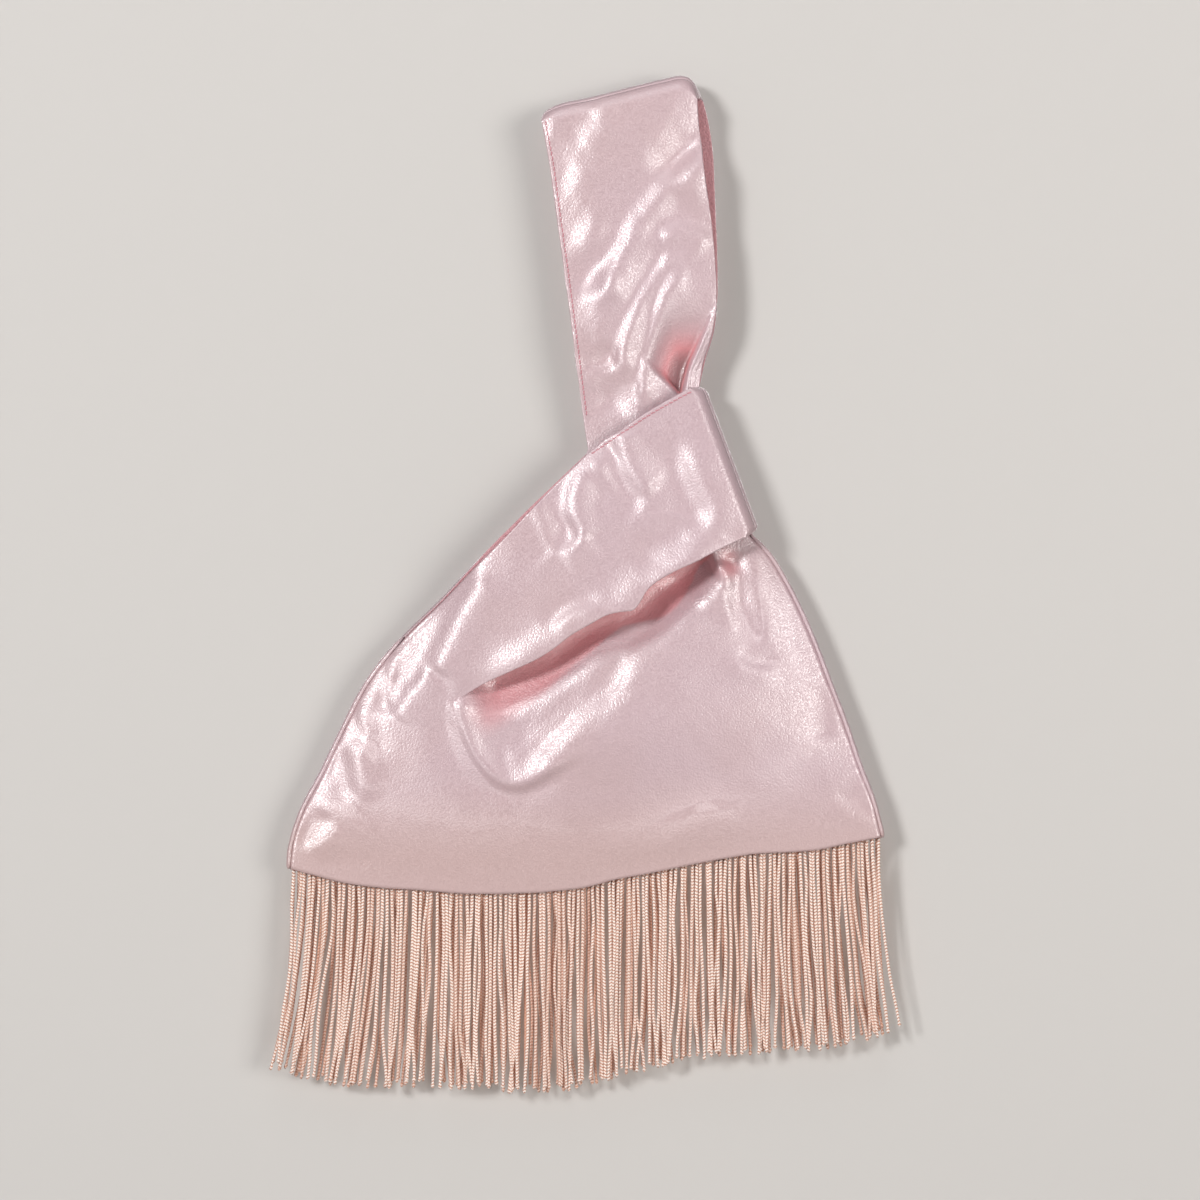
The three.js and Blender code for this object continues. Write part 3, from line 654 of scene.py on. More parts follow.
def free_share(k, shape):
    """How free each place of a sheet is to fold: not at all where a seam holds it."""
    n, m = shape
    s, v = np.linspace(0, 1, n)[:, None], np.linspace(0, 1, m)[None]
    if k == 0:
        return smooth(s / 0.05) * mix(smooth(v / 0.035), 1, smooth((s - 0.36) / 0.1))
    seam = smooth((BODY_ROWS * 0.72 - np.arange(n)) / 20)[:, None]
    return smooth(s / 0.03) * mix(1, smooth((1 - v) / 0.03), seam)


def panel(back):
    """A panel as two sheets: the left half with the short loop, and the right half with the strap."""
    sizes, _ = settings()
    (left, left_base), (right, right_base), (strap, strap_base) = grids(back)
    whole = np.vstack([right, strap[1:]])
    base = np.vstack([right_base, strap_base[1:]])
    neck = np.exp(-(((np.arange(len(base)) - len(right)) / 16.0) ** 2))
    left_folds, body_folds, strap_folds = FOLDS["back" if back else "front"]
    seed = 51 if back else 11
    out = []
    for k, (grid, depth, folds) in enumerate((
        (left, left_base, left_folds), (whole, evened(base, 30, neck), body_folds + strap_folds),
    )):
        extra = fold_height(grid, folds)
        extra += ripple(grid, seed + k, 46, 0.1)
        extra += ripple(grid, seed + k + 2, 19, 0.03)
        if k == 1:
            extra += ribs(grid, seed + 5)
            if not back:
                extra += pocket(grid) + rolled_edge(grid)
        depth = depth + extra * free_share(k, depth.shape) * sizes.fold_depth * (BACK_FOLDS if back else 1)
        if back:
            depth = BACK_LIMIT - np.log1p(np.exp((BACK_LIMIT - depth) * LIMIT_BEND)) / LIMIT_BEND
        out.append([grid, depth])
    rows = JOIN_ROWS + 1
    middle = (out[0][1][:rows, -1] + out[1][1][:rows, 0]) / 2
    for depth, edge, step in ((out[0][1], -1, -1), (out[1][1], 0, 1)):
        gap = middle - depth[:rows, edge]
        for c in range(JOIN_COLUMNS):
            depth[:rows, edge + step * c] += gap * smooth(1 - c / JOIN_COLUMNS)
    return out


def ribs(points, seed):
    """Fine creases: slanting ones on the strap, and ones across the light part of the body."""
    x, y = points[..., 0], points[..., 1]
    on_strap = smooth((420 - y) / 30)
    on_body = smooth((y - 560) / 40) * smooth((770 - y) / 60) * smooth((x - 465) / 30)
    on_body = on_body * smooth((710 - x) / 60)
    slanting = ripple(points, seed, 17, 0.05, math.radians(35), 0.5)
    return on_strap * slanting + on_body * ripple(points, seed + 1, 11, 0.09, math.radians(48), 0.2)


def round_corner(t):
    """A quarter circle's height as t goes from 0 to 1, and its top beyond."""
    return np.sqrt(np.clip(1 - np.clip(1 - t, 0, 1) ** 2, 0.02, 1))


def with_ends(front_sheets, back_sheets):
    """The round ends: the front stops at its seam, and the back goes on over the end to meet it."""
    out_front, out_back = [], []
    for (fg, fd), (bg, bd), rise, (first, last) in (
        (front_sheets[0], back_sheets[0], LOOP_RISE, (0.07, 0.05)),
        (front_sheets[1], back_sheets[1], TOP_RISE, (0.2, 0.06)),
    ):
        v = np.linspace(0, 1, fg.shape[1])
        fade = round_corner(v / first) * round_corner((1 - v) / last)
        turns = np.linspace(0, SEAM_TURN, ARC_ROWS // 2 + 1)[1:]
        rows, depths = arc(fg[-1], bg[-1], fd[-1], bd[-1], rise, turns, fade)
        out_front.append((np.vstack([fg, rows]), np.vstack([fd, depths])))
        turns = np.linspace(math.pi, SEAM_TURN + SEAM_OVERLAP, ARC_ROWS + 1)[1:]
        rows, depths = arc(fg[-1], bg[-1], fd[-1] + SEAM_STEP, bd[-1], rise, turns, fade)
        out_back.append((np.vstack([bg, rows]), np.vstack([bd, -depths])))
    return out_front, out_back


PANELS = {}


def both_panels():
    """Front and back sheets with their round ends, made once."""
    if not PANELS:
        PANELS["front"], PANELS["back"] = with_ends(panel(False), panel(True))
    return PANELS


def bend_at_hinge(obj):
    """The piece's placement baked into its mesh; the upward direction at the handle's hinge is worked out but
    not used, so the cloth is not bent there.
    """
    joint = next(j for j in frame["joints"] if j["name"] == "bag_swing")
    up = Vector((0, -1, 0)).cross(Vector(joint["axis"]).normalized())
    if up.z < 0:
        up = -up
    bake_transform(obj)


# Materials

CLOTH_THREADS, STITCH_THREADS = 1500.0, 2400.0  # the scales of the noise that makes threads
RELIEF = 0.0004  # the height of all the fabrics' bumps, in metres
LOOP_PITCH, LOOP_LEAN = 0.00135, 0.0022  # a strand's chained loops, in metres


def fill(tree, target, inputs):
    """A node's inputs, each set to a value or linked to another node's output."""
    for socket, value in inputs.items():
        if isinstance(value, bpy.types.NodeSocket):
            tree.links.new(value, target.inputs[socket])
        else:
            target.inputs[socket].default_value = value


def node(tree, kind, inputs=None, **values):
    made = tree.nodes.new("ShaderNode" + kind)
    for key, value in values.items():
        setattr(made, key, value)
    fill(tree, made, inputs or {})
    return made


def maths(tree, operation, *values):
    return node(tree, "Math", dict(enumerate(values)), operation=operation).outputs[0]


def ranged(tree, value, source=(0.0, 1.0), target=(0.0, 1.0), kind="LINEAR"):
    """A value's range, stretched onto another one and cut off at its ends."""
    inputs = {"Value": value, "From Min": source[0], "From Max": source[1]}
    inputs.update({"To Min": target[0], "To Max": target[1]})
    return node(tree, "MapRange", inputs, interpolation_type=kind).outputs["Result"]


def mixed(tree, factor, a, b, kind="MIX"):
    inputs = {"Factor": factor, "A": a, "B": b}
    return node(tree, "Mix", inputs, data_type="RGBA", blend_type=kind).outputs["Result"]


def noise(tree, where, scale, detail):
    return node(tree, "TexNoise", {"Vector": where, "Scale": scale, "Detail": detail}).outputs["Fac"]


def bumped(tree, height, strength):
    inputs = {"Height": height, "Strength": strength, "Distance": RELIEF}
    return node(tree, "Bump", inputs).outputs["Normal"]


def new_material(name):
    """A material, its node tree and its shader."""
    material = bpy.data.materials.new(name)
    material.use_nodes = True
    return material, material.node_tree, material.node_tree.nodes["Principled BSDF"]


def weave_group():
    """Fine threads as a height; a mask for the warmer colour, partly slow random tone and partly painted warm
    bounce light, which the hem has most of; and a grain.
    """
    name = "Satin weave"
    if name in bpy.data.node_groups:
        return bpy.data.node_groups[name]
    tree = bpy.data.node_groups.new(name, "ShaderNodeTree")
    tree.interface.new_socket("Thread scale", in_out="INPUT", socket_type="NodeSocketFloat")
    for label in ("Height", "Tint", "Grain"):
        tree.interface.new_socket(label, in_out="OUTPUT", socket_type="NodeSocketFloat")
    scale = tree.nodes.new("NodeGroupInput").outputs["Thread scale"]
    where = node(tree, "TexCoord").outputs["Object"]
    slant = {"Vector": where, "Rotation": (0, math.radians(38), 0), "Scale": (1.0, 1.0, 0.4)}
    threads = noise(tree, node(tree, "Mapping", slant).outputs["Vector"], scale, 1.0)
    speck = noise(tree, where, 1250.0, 0.0)
    cloudy = ranged(tree, noise(tree, where, 14.0, 3.0), (0.35, 0.68), (0.0, 0.35), "SMOOTHSTEP")
    # Painted warm bounce light: the cloth lowest by the hem takes the warmer colour
    height = node(tree, "SeparateXYZ", {"Vector": where}).outputs["Z"]
    low = ranged(tree, height, (-0.285, -0.335), kind="SMOOTHSTEP")
    fill(tree, tree.nodes.new("NodeGroupOutput"), {
        "Height": maths(tree, "MULTIPLY_ADD", threads, 0.4, speck),
        "Tint": maths(tree, "MAXIMUM", cloudy, low),
        "Grain": ranged(tree, speck, (0.3, 0.7)),
    })
    return tree


def fabric(
    name, colour, second, roughness, bump, specular, sheen,
    ior=1.5, spread=0.05, deep=None, thread=CLOTH_THREADS, anisotropy=0.0,
):
    """A woven finish in two close colours, with a third one, if there is one, painted as shade where the
    vertices' painted_shade mask asks for it.
    """
    if name in bpy.data.materials:
        return bpy.data.materials[name]
    material, tree, shader = new_material(name)
    weave = node(tree, "Group", {"Thread scale": thread}, node_tree=weave_group()).outputs
    base = mixed(tree, weave["Tint"], (*colour, 1), (*second, 1))
    # Painted shade: the deep colour up to 0.7 of the mask, and a darker one, at 0.4 of it, where the mask
    # goes on to 1
    if deep is not None:
        painted_shade = node(tree, "Attribute", attribute_name="painted_shade").outputs["Fac"]
        for reach, share in (((0.0, 0.7), 1.0), ((0.7, 1.0), 0.4)):
            base = mixed(tree, ranged(tree, painted_shade, reach), base, (*(c * share for c in deep), 1))
    flecks = ranged(tree, weave["Grain"], target=(0.9, 1.08))
    rough = (roughness - spread, roughness + spread)
    fill(tree, shader, {
        "Base Color": mixed(tree, 0.2, base, flecks, "MULTIPLY"),
        "Roughness": ranged(tree, weave["Grain"], target=rough),
        "Normal": bumped(tree, weave["Height"], bump),
        "Specular IOR Level": specular, "IOR": ior, "Sheen Weight": sheen, "Sheen Roughness": 0.45,
        "Anisotropic": anisotropy, "Anisotropic Rotation": 0.25,
    })
    return material


def satin():
    colours = settings()[1]
    return fabric(
        "pink satin", colours.satin, colours.satin_warm_tone_and_bounce, roughness=0.46, bump=0.31, specular=1.0,
        sheen=0.15, ior=1.95, spread=0.11, deep=colours.satin_painted_shade, anisotropy=0.5,
    )


def lining():
    # The lining is the same satin; its colour is painted deeper pink, as painted shade for the inside of the
    # bag
    colour = settings()[1].lining
    return fabric("lining satin", colour, [c * 0.92 for c in colour], 0.5, 0.8, 0.5, 0.1)


def thread():
    colour = settings()[1].thread
    second = [c * 0.85 for c in colour]
    return fabric("sewing thread", colour, second, 0.55, 0.8, 0.4, 0.2, thread=STITCH_THREADS)


def silk():
    """Chained yarn: a herringbone of small loops that runs along each strand."""
    name = "chained silk"
    if name in bpy.data.materials:
        return bpy.data.materials[name]
    colour, deep = (*settings()[1].fringe, 1), (*settings()[1].fringe_painted_shade, 1)
    material, tree, shader = new_material(name)
    uv = node(tree, "UVMap", uv_map="length").outputs["UV"]
    at = node(tree, "SeparateXYZ", {"Vector": uv}).outputs
    fold = maths(tree, "PINGPONG", at["X"], 0.25)
    lean = maths(tree, "MULTIPLY_ADD", fold, LOOP_LEAN, at["Y"])
    wave = maths(tree, "SINE", maths(tree, "MULTIPLY", lean, 2 * math.pi / LOOP_PITCH))
    # The silk's own colour on the loops, with painted shade between them
    loops = ranged(tree, wave, (-1.0, 0.1), kind="SMOOTHSTEP")
    weave = node(tree, "Group", {"Thread scale": CLOTH_THREADS}, node_tree=weave_group()).outputs
    # Painted shade on the back row and the header, with random tone between strands, from each vertex's shade
    shade = node(tree, "Attribute", attribute_name="shade").outputs["Fac"]
    shaded = maths(tree, "MULTIPLY", shade, 0.8)
    fill(tree, shader, {
        "Base Color": mixed(tree, shaded, mixed(tree, loops, deep, colour), deep),
        "Roughness": ranged(tree, weave["Grain"], target=(0.42, 0.62)),
        "Normal": bumped(tree, maths(tree, "MULTIPLY_ADD", weave["Height"], 0.25, loops), 0.8),
        "Sheen Weight": 0.2,
    })
    return material


# Pieces

# The rolled seams: how far up each side they go, as a share, their steps and their depths in metres
SEAM_TOPS = {"left": 0.375, "right": 0.69}
SEAM_STEPS, SEAM_SIDES = 90, 12
SEAM_OUT, SEAM_UP = 1.6, -0.4  # from the outline, in view points
SEAM_FOOT, SEAM_HEAD = 0.0034, 0.0029

# A stitch, in metres and as a share of the pitch, its slant in radians, and a neck's rows without any
STITCH_WIDTH, STITCH_HEIGHT, STITCH_LIFT = 0.00028, 0.00024, 0.00005
STITCH_SHARE, STITCH_SLANT = 0.33, 0.18
NECK_ROWS = 12

# The fringe, in metres: how far inside the hem's ends it starts, the gap in its front row, the
# strands' outline as sizes at shares of their length, how far up in the hem they start, and the
# header's section
FRINGE_SECTIONS, STRAND_SIDES = 12, 5
FRINGE_LEFT, FRINGE_RIGHT = 0.0008, 0.0004
FRINGE_GAP, GAP_HALF = -0.0127, 0.0011
STRAND_RINGS = (0, 0.08, 0.18, 0.29, 0.40, 0.51, 0.62, 0.73, 0.83, 0.92, 0.985, 1.0, 1.012)
STRAND_SIZES = (1, 1, 1, 1, 1, 1, 1, 1, 1, 1, 0.8, 1.25, 0.5)
STRAND_START = 0.0012
LEAN_LEFT, LEAN_RIGHT, LEAN_SPREAD = -0.0098, 0.0062, 0.0010
CLUMPS = (0.0011, 73, 1), (0.0008, 151, 2)  # how far strands lean together, how often, and from where
SWAY, CURL = 0.00055, 0.0012
ROW_DEPTH, ROW_SPREAD, ROW_BULGE = 0.0011, 0.0005, 0.0014
BEAD_WIDTH, BEAD_DEPTH, BEAD_LIFT, BEAD_INSET = 0.0008, 0.0013, 0.0008, 0.0002
# How dark the back row and the header are painted, as shade, and times that the silk's pattern goes round the
# header
BACK_SHADE, BEAD_SHADE = 0.55, 0.5
BEAD_ROUND = 90  # to a metre of its depth

# The header tape, in metres: inside the hem's ends, half its thickness, and its lower and upper edge
TAPE_INSET, TAPE_HALF, TAPE_LOW, TAPE_HIGH = 0.009, 0.0005, 0.0006, 0.0068
TAPE_STEPS = 70
TAPE_ROUND, TAPE_ZERO = 200, -0.35  # times round to a metre of height, counted from this height


def finish_piece(obj, material, replaced, body):
    outward(obj)
    obj.data.materials.append(material)
    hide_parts(replaced)
    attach(obj, body)


def make_panel(side):
    """One panel with its straps, as a single sheet of satin with its lining."""
    sizes, _ = settings()
    obj = cloth(f"{side}_panel_and_strap", both_panels()[side], side == "back")
    obj.data.materials.append(satin())
    obj.data.materials.append(lining())
    give_wall(obj, sizes.wall / 1000, 1, 0)
    layers = ("outer", "interlining", "lining")
    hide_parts(*(f"{part}_{layer}" for part in (f"{side}_panel", f"handle_{side}") for layer in layers))
    bend_at_hinge(obj)


def turned(count):
    """Angles evenly round a full turn."""
    return np.linspace(0, 2 * math.pi, count + 1)[:-1]


def tube(path, section):
    """A closed form: a section of (across, out) offsets in metres along a path, with round ends."""
    path = np.asarray(path, float)
    front = np.array([0.0, -1.0, 0.0])
    rings = []
    for i, p in enumerate(path):
        run = path[min(i + 1, len(path) - 1)] - path[max(i - 1, 0)]
        run /= np.linalg.norm(run)
        across = np.cross(front, run)
        across /= np.linalg.norm(across)
        rings.append([p + a * across + o * front for a, o in section(i / (len(path) - 1))])
    rings = np.array(rings)
    n, m = rings.shape[:2]
    vertices = [*rings.reshape(-1, 3), rings[0].mean(0), rings[-1].mean(0)]
    faces = []
    for i in range(n - 1):
        for j in range(m):
            k = (j + 1) % m
            faces.append((i * m + j, i * m + k, (i + 1) * m + k, (i + 1) * m + j))
    for j in range(m):
        k = (j + 1) % m
        faces.append((n * m, k, j))
        faces.append((n * m + 1, (n - 1) * m + j, (n - 1) * m + k))
    return np.array(vertices), faces


def make_seams():
    """The rolled side seams, which hold both panels' edges."""
    sizes, _ = settings()
    (loop, _), (body, _) = both_panels()["front"]
    left = loop[: int(SEAM_TOPS["left"] * LEFT_ROWS) + 1, 0]
    right = body[: int(SEAM_TOPS["right"] * BODY_ROWS) + 1, -1]
    for name, line, outside, seed in (("left", left, -1, 5), ("right", right, 1, 9)):
        line = respace(np.array(line), SEAM_STEPS)
        path = place(line + np.array([outside * SEAM_OUT, SEAM_UP]), np.zeros(len(line)))
        wobble = np.random.RandomState(seed).uniform(0.9, 1.12, SEAM_STEPS + 1)
        wobble = np.convolve(wobble, [0.25, 0.5, 0.25], "same")
        wobble[[0, -1]] = 1

        def section(t, wobble=wobble):
            taper = math.sqrt(min(1, (1 - t) / 0.05 + 0.15)) * math.sqrt(min(1, t / 0.02 + 0.3))
            wide = sizes.seam_roll / 1000 * wobble[int(round(t * SEAM_STEPS))]
            deep = mix(SEAM_FOOT, SEAM_HEAD, t)
            return [(wide * taper * math.cos(a), deep * taper * math.sin(a)) for a in turned(SEAM_SIDES)]

        obj = new_mesh_object(f"side_seam_roll_{name}", *tube(path, section))
        finish_piece(obj, satin(), f"side_seam_{name}", "bag")


def one_stitch():
    """A single stitch as a rounded bar along X, modelled once."""
    bpy.ops.object.select_all(action="DESELECT")
    bpy.ops.mesh.primitive_cylinder_add(vertices=6, radius=1, depth=2, rotation=(0, math.pi / 2, 0))
    obj = bpy.context.object
    bpy.ops.object.transform_apply(location=False, rotation=True, scale=True)
    bpy.ops.object.mode_set(mode="EDIT")
    bpy.ops.mesh.select_mode(type="FACE")
    bpy.ops.object.mode_set(mode="OBJECT")
    for polygon in obj.data.polygons:
        polygon.select = abs(polygon.normal.x) > 0.9
    bpy.ops.object.mode_set(mode="EDIT")
    bpy.ops.mesh.inset(thickness=0.35, depth=0.3, use_individual=True)
    bpy.ops.object.mode_set(mode="OBJECT")
    vertices = np.array([v.co for v in obj.data.vertices])
    faces = [tuple(p.vertices) for p in obj.data.polygons]
    bpy.data.objects.remove(obj, do_unlink=True)
    return vertices, faces


def stitch_mesh(line, out):
    """A row of stitches between every other place of a line, each lying on the cloth and slanting."""
    base, base_faces = one_stitch()
    vertices, faces = [], []
    for a, b in zip(line[:-2:2], line[2::2]):
        pitch = np.linalg.norm(b - a)
        run = (b - a) / pitch
        side = np.cross(run, out)
        lengthways = run * math.cos(STITCH_SLANT) + side * math.sin(STITCH_SLANT)
        across = side * math.cos(STITCH_SLANT) - run * math.sin(STITCH_SLANT)
        centre = (a + b) / 2 + out * STITCH_LIFT
        faces += [tuple(len(vertices) + k for k in f) for f in base_faces]
        for x, y, z in base:
            off = lengthways * x * pitch * STITCH_SHARE + across * y * STITCH_WIDTH
            vertices.append(centre + off + out * z * STITCH_HEIGHT)
    return vertices, faces


def make_stitches():
    """Rows of topstitching along the short loop's upper edge and the long loop's left edge."""
    sizes, _ = settings()
    for name, replaced, part, first, last, body in (
        ("loop_topstitch", "loop_stitches", 0, SIDE_ROWS, LEFT_ROWS, "bag"),
        ("strap_topstitch", "handle_stitches", 1, BODY_ROWS + NECK_ROWS, BODY_ROWS + STRAP_ROWS, "handle"),
    ):
        for side, facing in (("front", -1.0), ("back", 1.0)):
            grid, depth = both_panels()[side][part]
            places = place(grid, -depth if side == "back" else depth)
            line = np.array([along(row, sizes.stitch_inset / 1000) for row in places[first:last + 1]])
            count = int(lengths(line)[-1] / (sizes.stitch_pitch / 1000))
            line = respace(line, count * 2)
            obj = new_mesh_object(f"{name}_{side}", *stitch_mesh(line, np.array([0, facing, 0])))
            finish_piece(obj, thread(), f"{replaced}_{side}", body)


def hem_line():
    """The hem in metres, as x and z from left to right."""
    points = np.vstack([spline(HEM_LEFT, 60)[:-1], spline(HEM_RIGHT, 60)])
    at = place(points, np.full(len(points), 1.0))
    return at[:, 0], at[:, 2]


def strand(rng, x, u, hem, facing, sizes):
    """One strand's rings and how far each is along it: it leans out at the ends of the fringe."""
    length = (sizes.fringe - 0.8 + rng.uniform(-2.4, 1.6) + 1.2 * math.sin(u * 17)) / 1000
    lean = LEAN_LEFT * (1 - smooth(u / 0.36)) + LEAN_RIGHT * smooth((u - 0.7) / 0.3)
    lean = lean + rng.normal(0, LEAN_SPREAD)
    clump = sum(size * math.sin(u * often + start) for size, often, start in CLUMPS)
    sway, curl = rng.normal(0, SWAY), rng.normal(0, CURL)
    phase, turns = rng.uniform(0, 2 * math.pi), rng.uniform(0.6, 1.5)
    depth = facing * ROW_DEPTH + rng.uniform(-ROW_SPREAD, ROW_SPREAD)
    bulge = facing * rng.uniform(0, ROW_BULGE)
    radius = sizes.strand / 2000 * rng.uniform(0.9, 1.08)
    t = np.array(STRAND_RINGS)
    across = x + float(lean) * t**1.7 + clump * t + curl * smooth((t - 0.72) / 0.28)
    across += sway * np.sin(phase + turns * 2 * math.pi * t) * smooth(t / 0.25)
    out = depth * smooth(t * 4 + 0.4) + bulge * np.sin(math.pi * np.clip(t, 0, 1))
    down = hem + STRAND_START - t * (length + STRAND_START)
    angles = turned(STRAND_SIDES) + rng.uniform(0, 2 * math.pi)
    size = radius * np.array(STRAND_SIZES)[:, None]
    rings = np.stack([
        across[:, None] + size * np.cos(angles), out[:, None] + 0.9 * size * np.sin(angles),
        down[:, None] + 0 * size * angles,
    ], -1)
    return rings, t * length + rng.uniform(0, 0.01)


def strand_faces(start, gone):
    """A strand's faces and their places on the UV map, u round it and v along it."""
    faces, uvs = [], []
    n, m = len(gone), STRAND_SIDES
    for r in range(n - 1):
        for k in range(m):
            a, b = start + r * m + k, start + r * m + (k + 1) % m
            faces.append((a, a + m, b + m, b))
            u, last = k / m, (k + 1) / m
            uvs += [(u, gone[r]), (u, gone[r + 1]), (last, gone[r + 1]), (last, gone[r])]
    faces.append(tuple(start + (n - 1) * m + k for k in range(m)))
    faces.append(tuple(start + k for k in reversed(range(m))))
    uvs += [(0.5, gone[-1])] * m + [(0.5, gone[0])] * m
    return faces, uvs


def header_bead(low, high, hem_height):
    """The round header of one section of the fringe, just inside the section's ends."""
    xs = np.linspace(low, high, 7)
    heights = [hem_height(x) + BEAD_LIFT for x in xs]
    xs[[0, -1]] += [BEAD_INSET, -BEAD_INSET]
    ring = [(BEAD_WIDTH * math.cos(a), BEAD_DEPTH * math.sin(a)) for a in turned(8)]
    return tube([(x, 0.0, z) for x, z in zip(xs, heights)], lambda t: ring)


def make_fringe():
    """Twelve sections of chained strands in two rows, each hanging from its piece of header."""
    sizes, _ = settings()
    hem_x, hem_z = hem_line()
    rng = np.random.RandomState(21)
    pivots = {j["child"]: j["pos_m"] for j in frame["joints"]}
    low_end, high_end = hem_x[0] + FRINGE_LEFT, hem_x[-1] - FRINGE_RIGHT
    width = (high_end - low_end) / FRINGE_SECTIONS

    def hem_height(x):
        return float(np.interp(x, hem_x, hem_z))

    for i in range(FRINGE_SECTIONS):
        vertices, faces, uvs, shades = [], [], [], []
        low = low_end + i * width
        for count, facing in ((sizes.strands_front, -1), (sizes.strands_back, 1)):
            for k in range(count):
                x = low + (k + 0.5 + rng.uniform(-0.3, 0.3)) / count * width
                if facing < 0 and abs(x - FRINGE_GAP) < GAP_HALF:
                    continue
                u = (x - low_end) / (high_end - low_end)
                rings, gone = strand(rng, x, u, hem_height(x), facing, sizes)
                more, places = strand_faces(len(vertices), gone)
                vertices += [tuple(v) for v in rings.reshape(-1, 3)]
                faces += more
                uvs += places
                # Random tone from strand to strand, and painted shade on the back row
                shade = max(0.0, rng.normal(0.0, 0.18)) + (BACK_SHADE if facing > 0 else 0)
                shades += [shade] * rings[..., 0].size
        bead, bead_faces = header_bead(low, low + width, hem_height)
        faces += [tuple(len(vertices) + q for q in f) for f in bead_faces]
        uvs += [(BEAD_ROUND * bead[q][1], bead[q][0]) for f in bead_faces for q in f]
        vertices += [tuple(v) for v in bead]
        # Painted shade on the header
        shades += [BEAD_SHADE] * len(bead)
        obj = new_mesh_object(f"fringe_strands_{i + 1}", vertices, faces)
        obj.data.uv_layers.new(name="length").data.foreach_set("uv", np.array(uvs, np.float32).ravel())
        mark(obj, "shade", np.clip(shades, 0, 1))
        outward(obj)
        obj.data.materials.append(silk())
        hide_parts(f"fringe_section_{i + 1}")
        x, _, pivot = pivots[f"fringe_{i + 1}"]
        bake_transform(obj)


def make_tape():
    """The header tape sewn inside the hem."""
    hem_x, hem_z = hem_line()
    corners = [(-TAPE_HALF, TAPE_LOW), (TAPE_HALF, TAPE_LOW), (TAPE_HALF, TAPE_HIGH), (-TAPE_HALF, TAPE_HIGH)]
    vertices, faces = [], []
    for x in np.linspace(hem_x[0] + TAPE_INSET, hem_x[-1] - TAPE_INSET, TAPE_STEPS):
        z = float(np.interp(x, hem_x, hem_z))
        vertices += [(x, y, z + up) for y, up in corners]
    last = len(vertices) - 4
    for i in range(0, last, 4):
        for j in range(4):
            k = (j + 1) % 4
            faces.append((i + j, i + k, i + 4 + k, i + 4 + j))
    faces += [(3, 2, 1, 0), (last, last + 1, last + 2, last + 3)]
    uvs = np.array([((v[2] - TAPE_ZERO) * TAPE_ROUND, v[0]) for v in vertices])
    obj = new_mesh_object("fringe_header_tape", vertices, faces, uvs)
    finish_piece(obj, silk(), "fringe_tape", "bag")
    bpy.ops.object.shade_flat()


def declare_cloth():
    """Each panel is one sheet of cloth; the names of what is sewn to it are listed here and used no further.
    """
    sewn = [f"fringe_strands_{i + 1}" for i in range(FRINGE_SECTIONS)]
    sewn += ["side_seam_roll_left", "side_seam_roll_right", "fringe_header_tape"]


# Stage

# What the lamps point at, and each lamp: its place in metres, its size, its power in watts, its colour
LIT_PLACE = (-0.01, 0, -0.22)
LAMPS = {
    "key": ((-2.1, -2.89, 0.78), 0.8, 84.0, (1.0, 0.99, 0.99)),
    "fill": ((1.6, -1.9, -0.2), 1.3, 31.0, (1.0, 0.965, 0.94)),
    "top": ((-0.1, -0.9, 1.6), 1.0, 5.0, (0.97, 0.98, 1.0)),
    "back_key": ((-0.02, 2.1, 0.2), 1.5, 24.0, (1.0, 0.985, 0.97)),
}
ROOM_COLOUR = (0.93, 0.92, 0.92, 1)
ROOM_LIGHT, ROOM_SEEN = 0.25, 0.92
WALL_SIZE, WALL_MIDDLE = 3.2, 0.35
FLOOR_SIZE, FLOOR_Z = 6, -0.56
SENSOR = 36.0


def plain(name, colour, one_sided):
    """A matt finish; if it is one-sided, only the camera sees it, and only from in front."""
    material, tree, shader = new_material(name)
    fill(tree, shader, {"Base Color": (*colour, 1), "Roughness": 0.95, "Specular IOR Level": 0.1})
    if one_sided:
        front = maths(tree, "SUBTRACT", 1.0, node(tree, "NewGeometry").outputs["Backfacing"])
        seen = maths(tree, "MULTIPLY", node(tree, "LightPath").outputs["Is Camera Ray"], front)
        clear = node(tree, "BsdfTransparent").outputs[0]
        both = node(tree, "MixShader", {"Fac": seen, 1: clear, 2: shader.outputs[0]})
        fill(tree, tree.nodes["Material Output"], {"Surface": both.outputs[0]})
    return material


def make_lamp(name, at, size, power, colour):
    data = bpy.data.lights.new(name, "AREA")
    data.shape = "DISK"
    data.size = size
    data.energy = power
    data.color = colour
    obj = bpy.data.objects.new(name, data)
    bpy.context.scene.collection.objects.link(obj)
    obj.location = at
    obj.rotation_euler = (Vector(LIT_PLACE) - Vector(at)).to_track_quat("-Z", "Y").to_euler()


def make_plane(name, size, at, turn, material):
    bpy.ops.object.select_all(action="DESELECT")
    bpy.ops.mesh.primitive_plane_add(size=size, location=at, rotation=(turn, 0, 0))
    obj = bpy.context.object
    obj.name = name
    obj.data.materials.append(material)
    return obj


def make_room():
    """Even light, which the camera sees brighter than it is."""
    world = bpy.data.worlds.new("pale room")
    world.use_nodes = True
    tree = world.node_tree
    seen = node(tree, "LightPath").outputs["Is Camera Ray"]
    strength = ranged(tree, seen, target=(ROOM_LIGHT, ROOM_SEEN))
    fill(tree, tree.nodes["Background"], {"Color": ROOM_COLOUR, "Strength": strength})
    bpy.context.scene.world = world


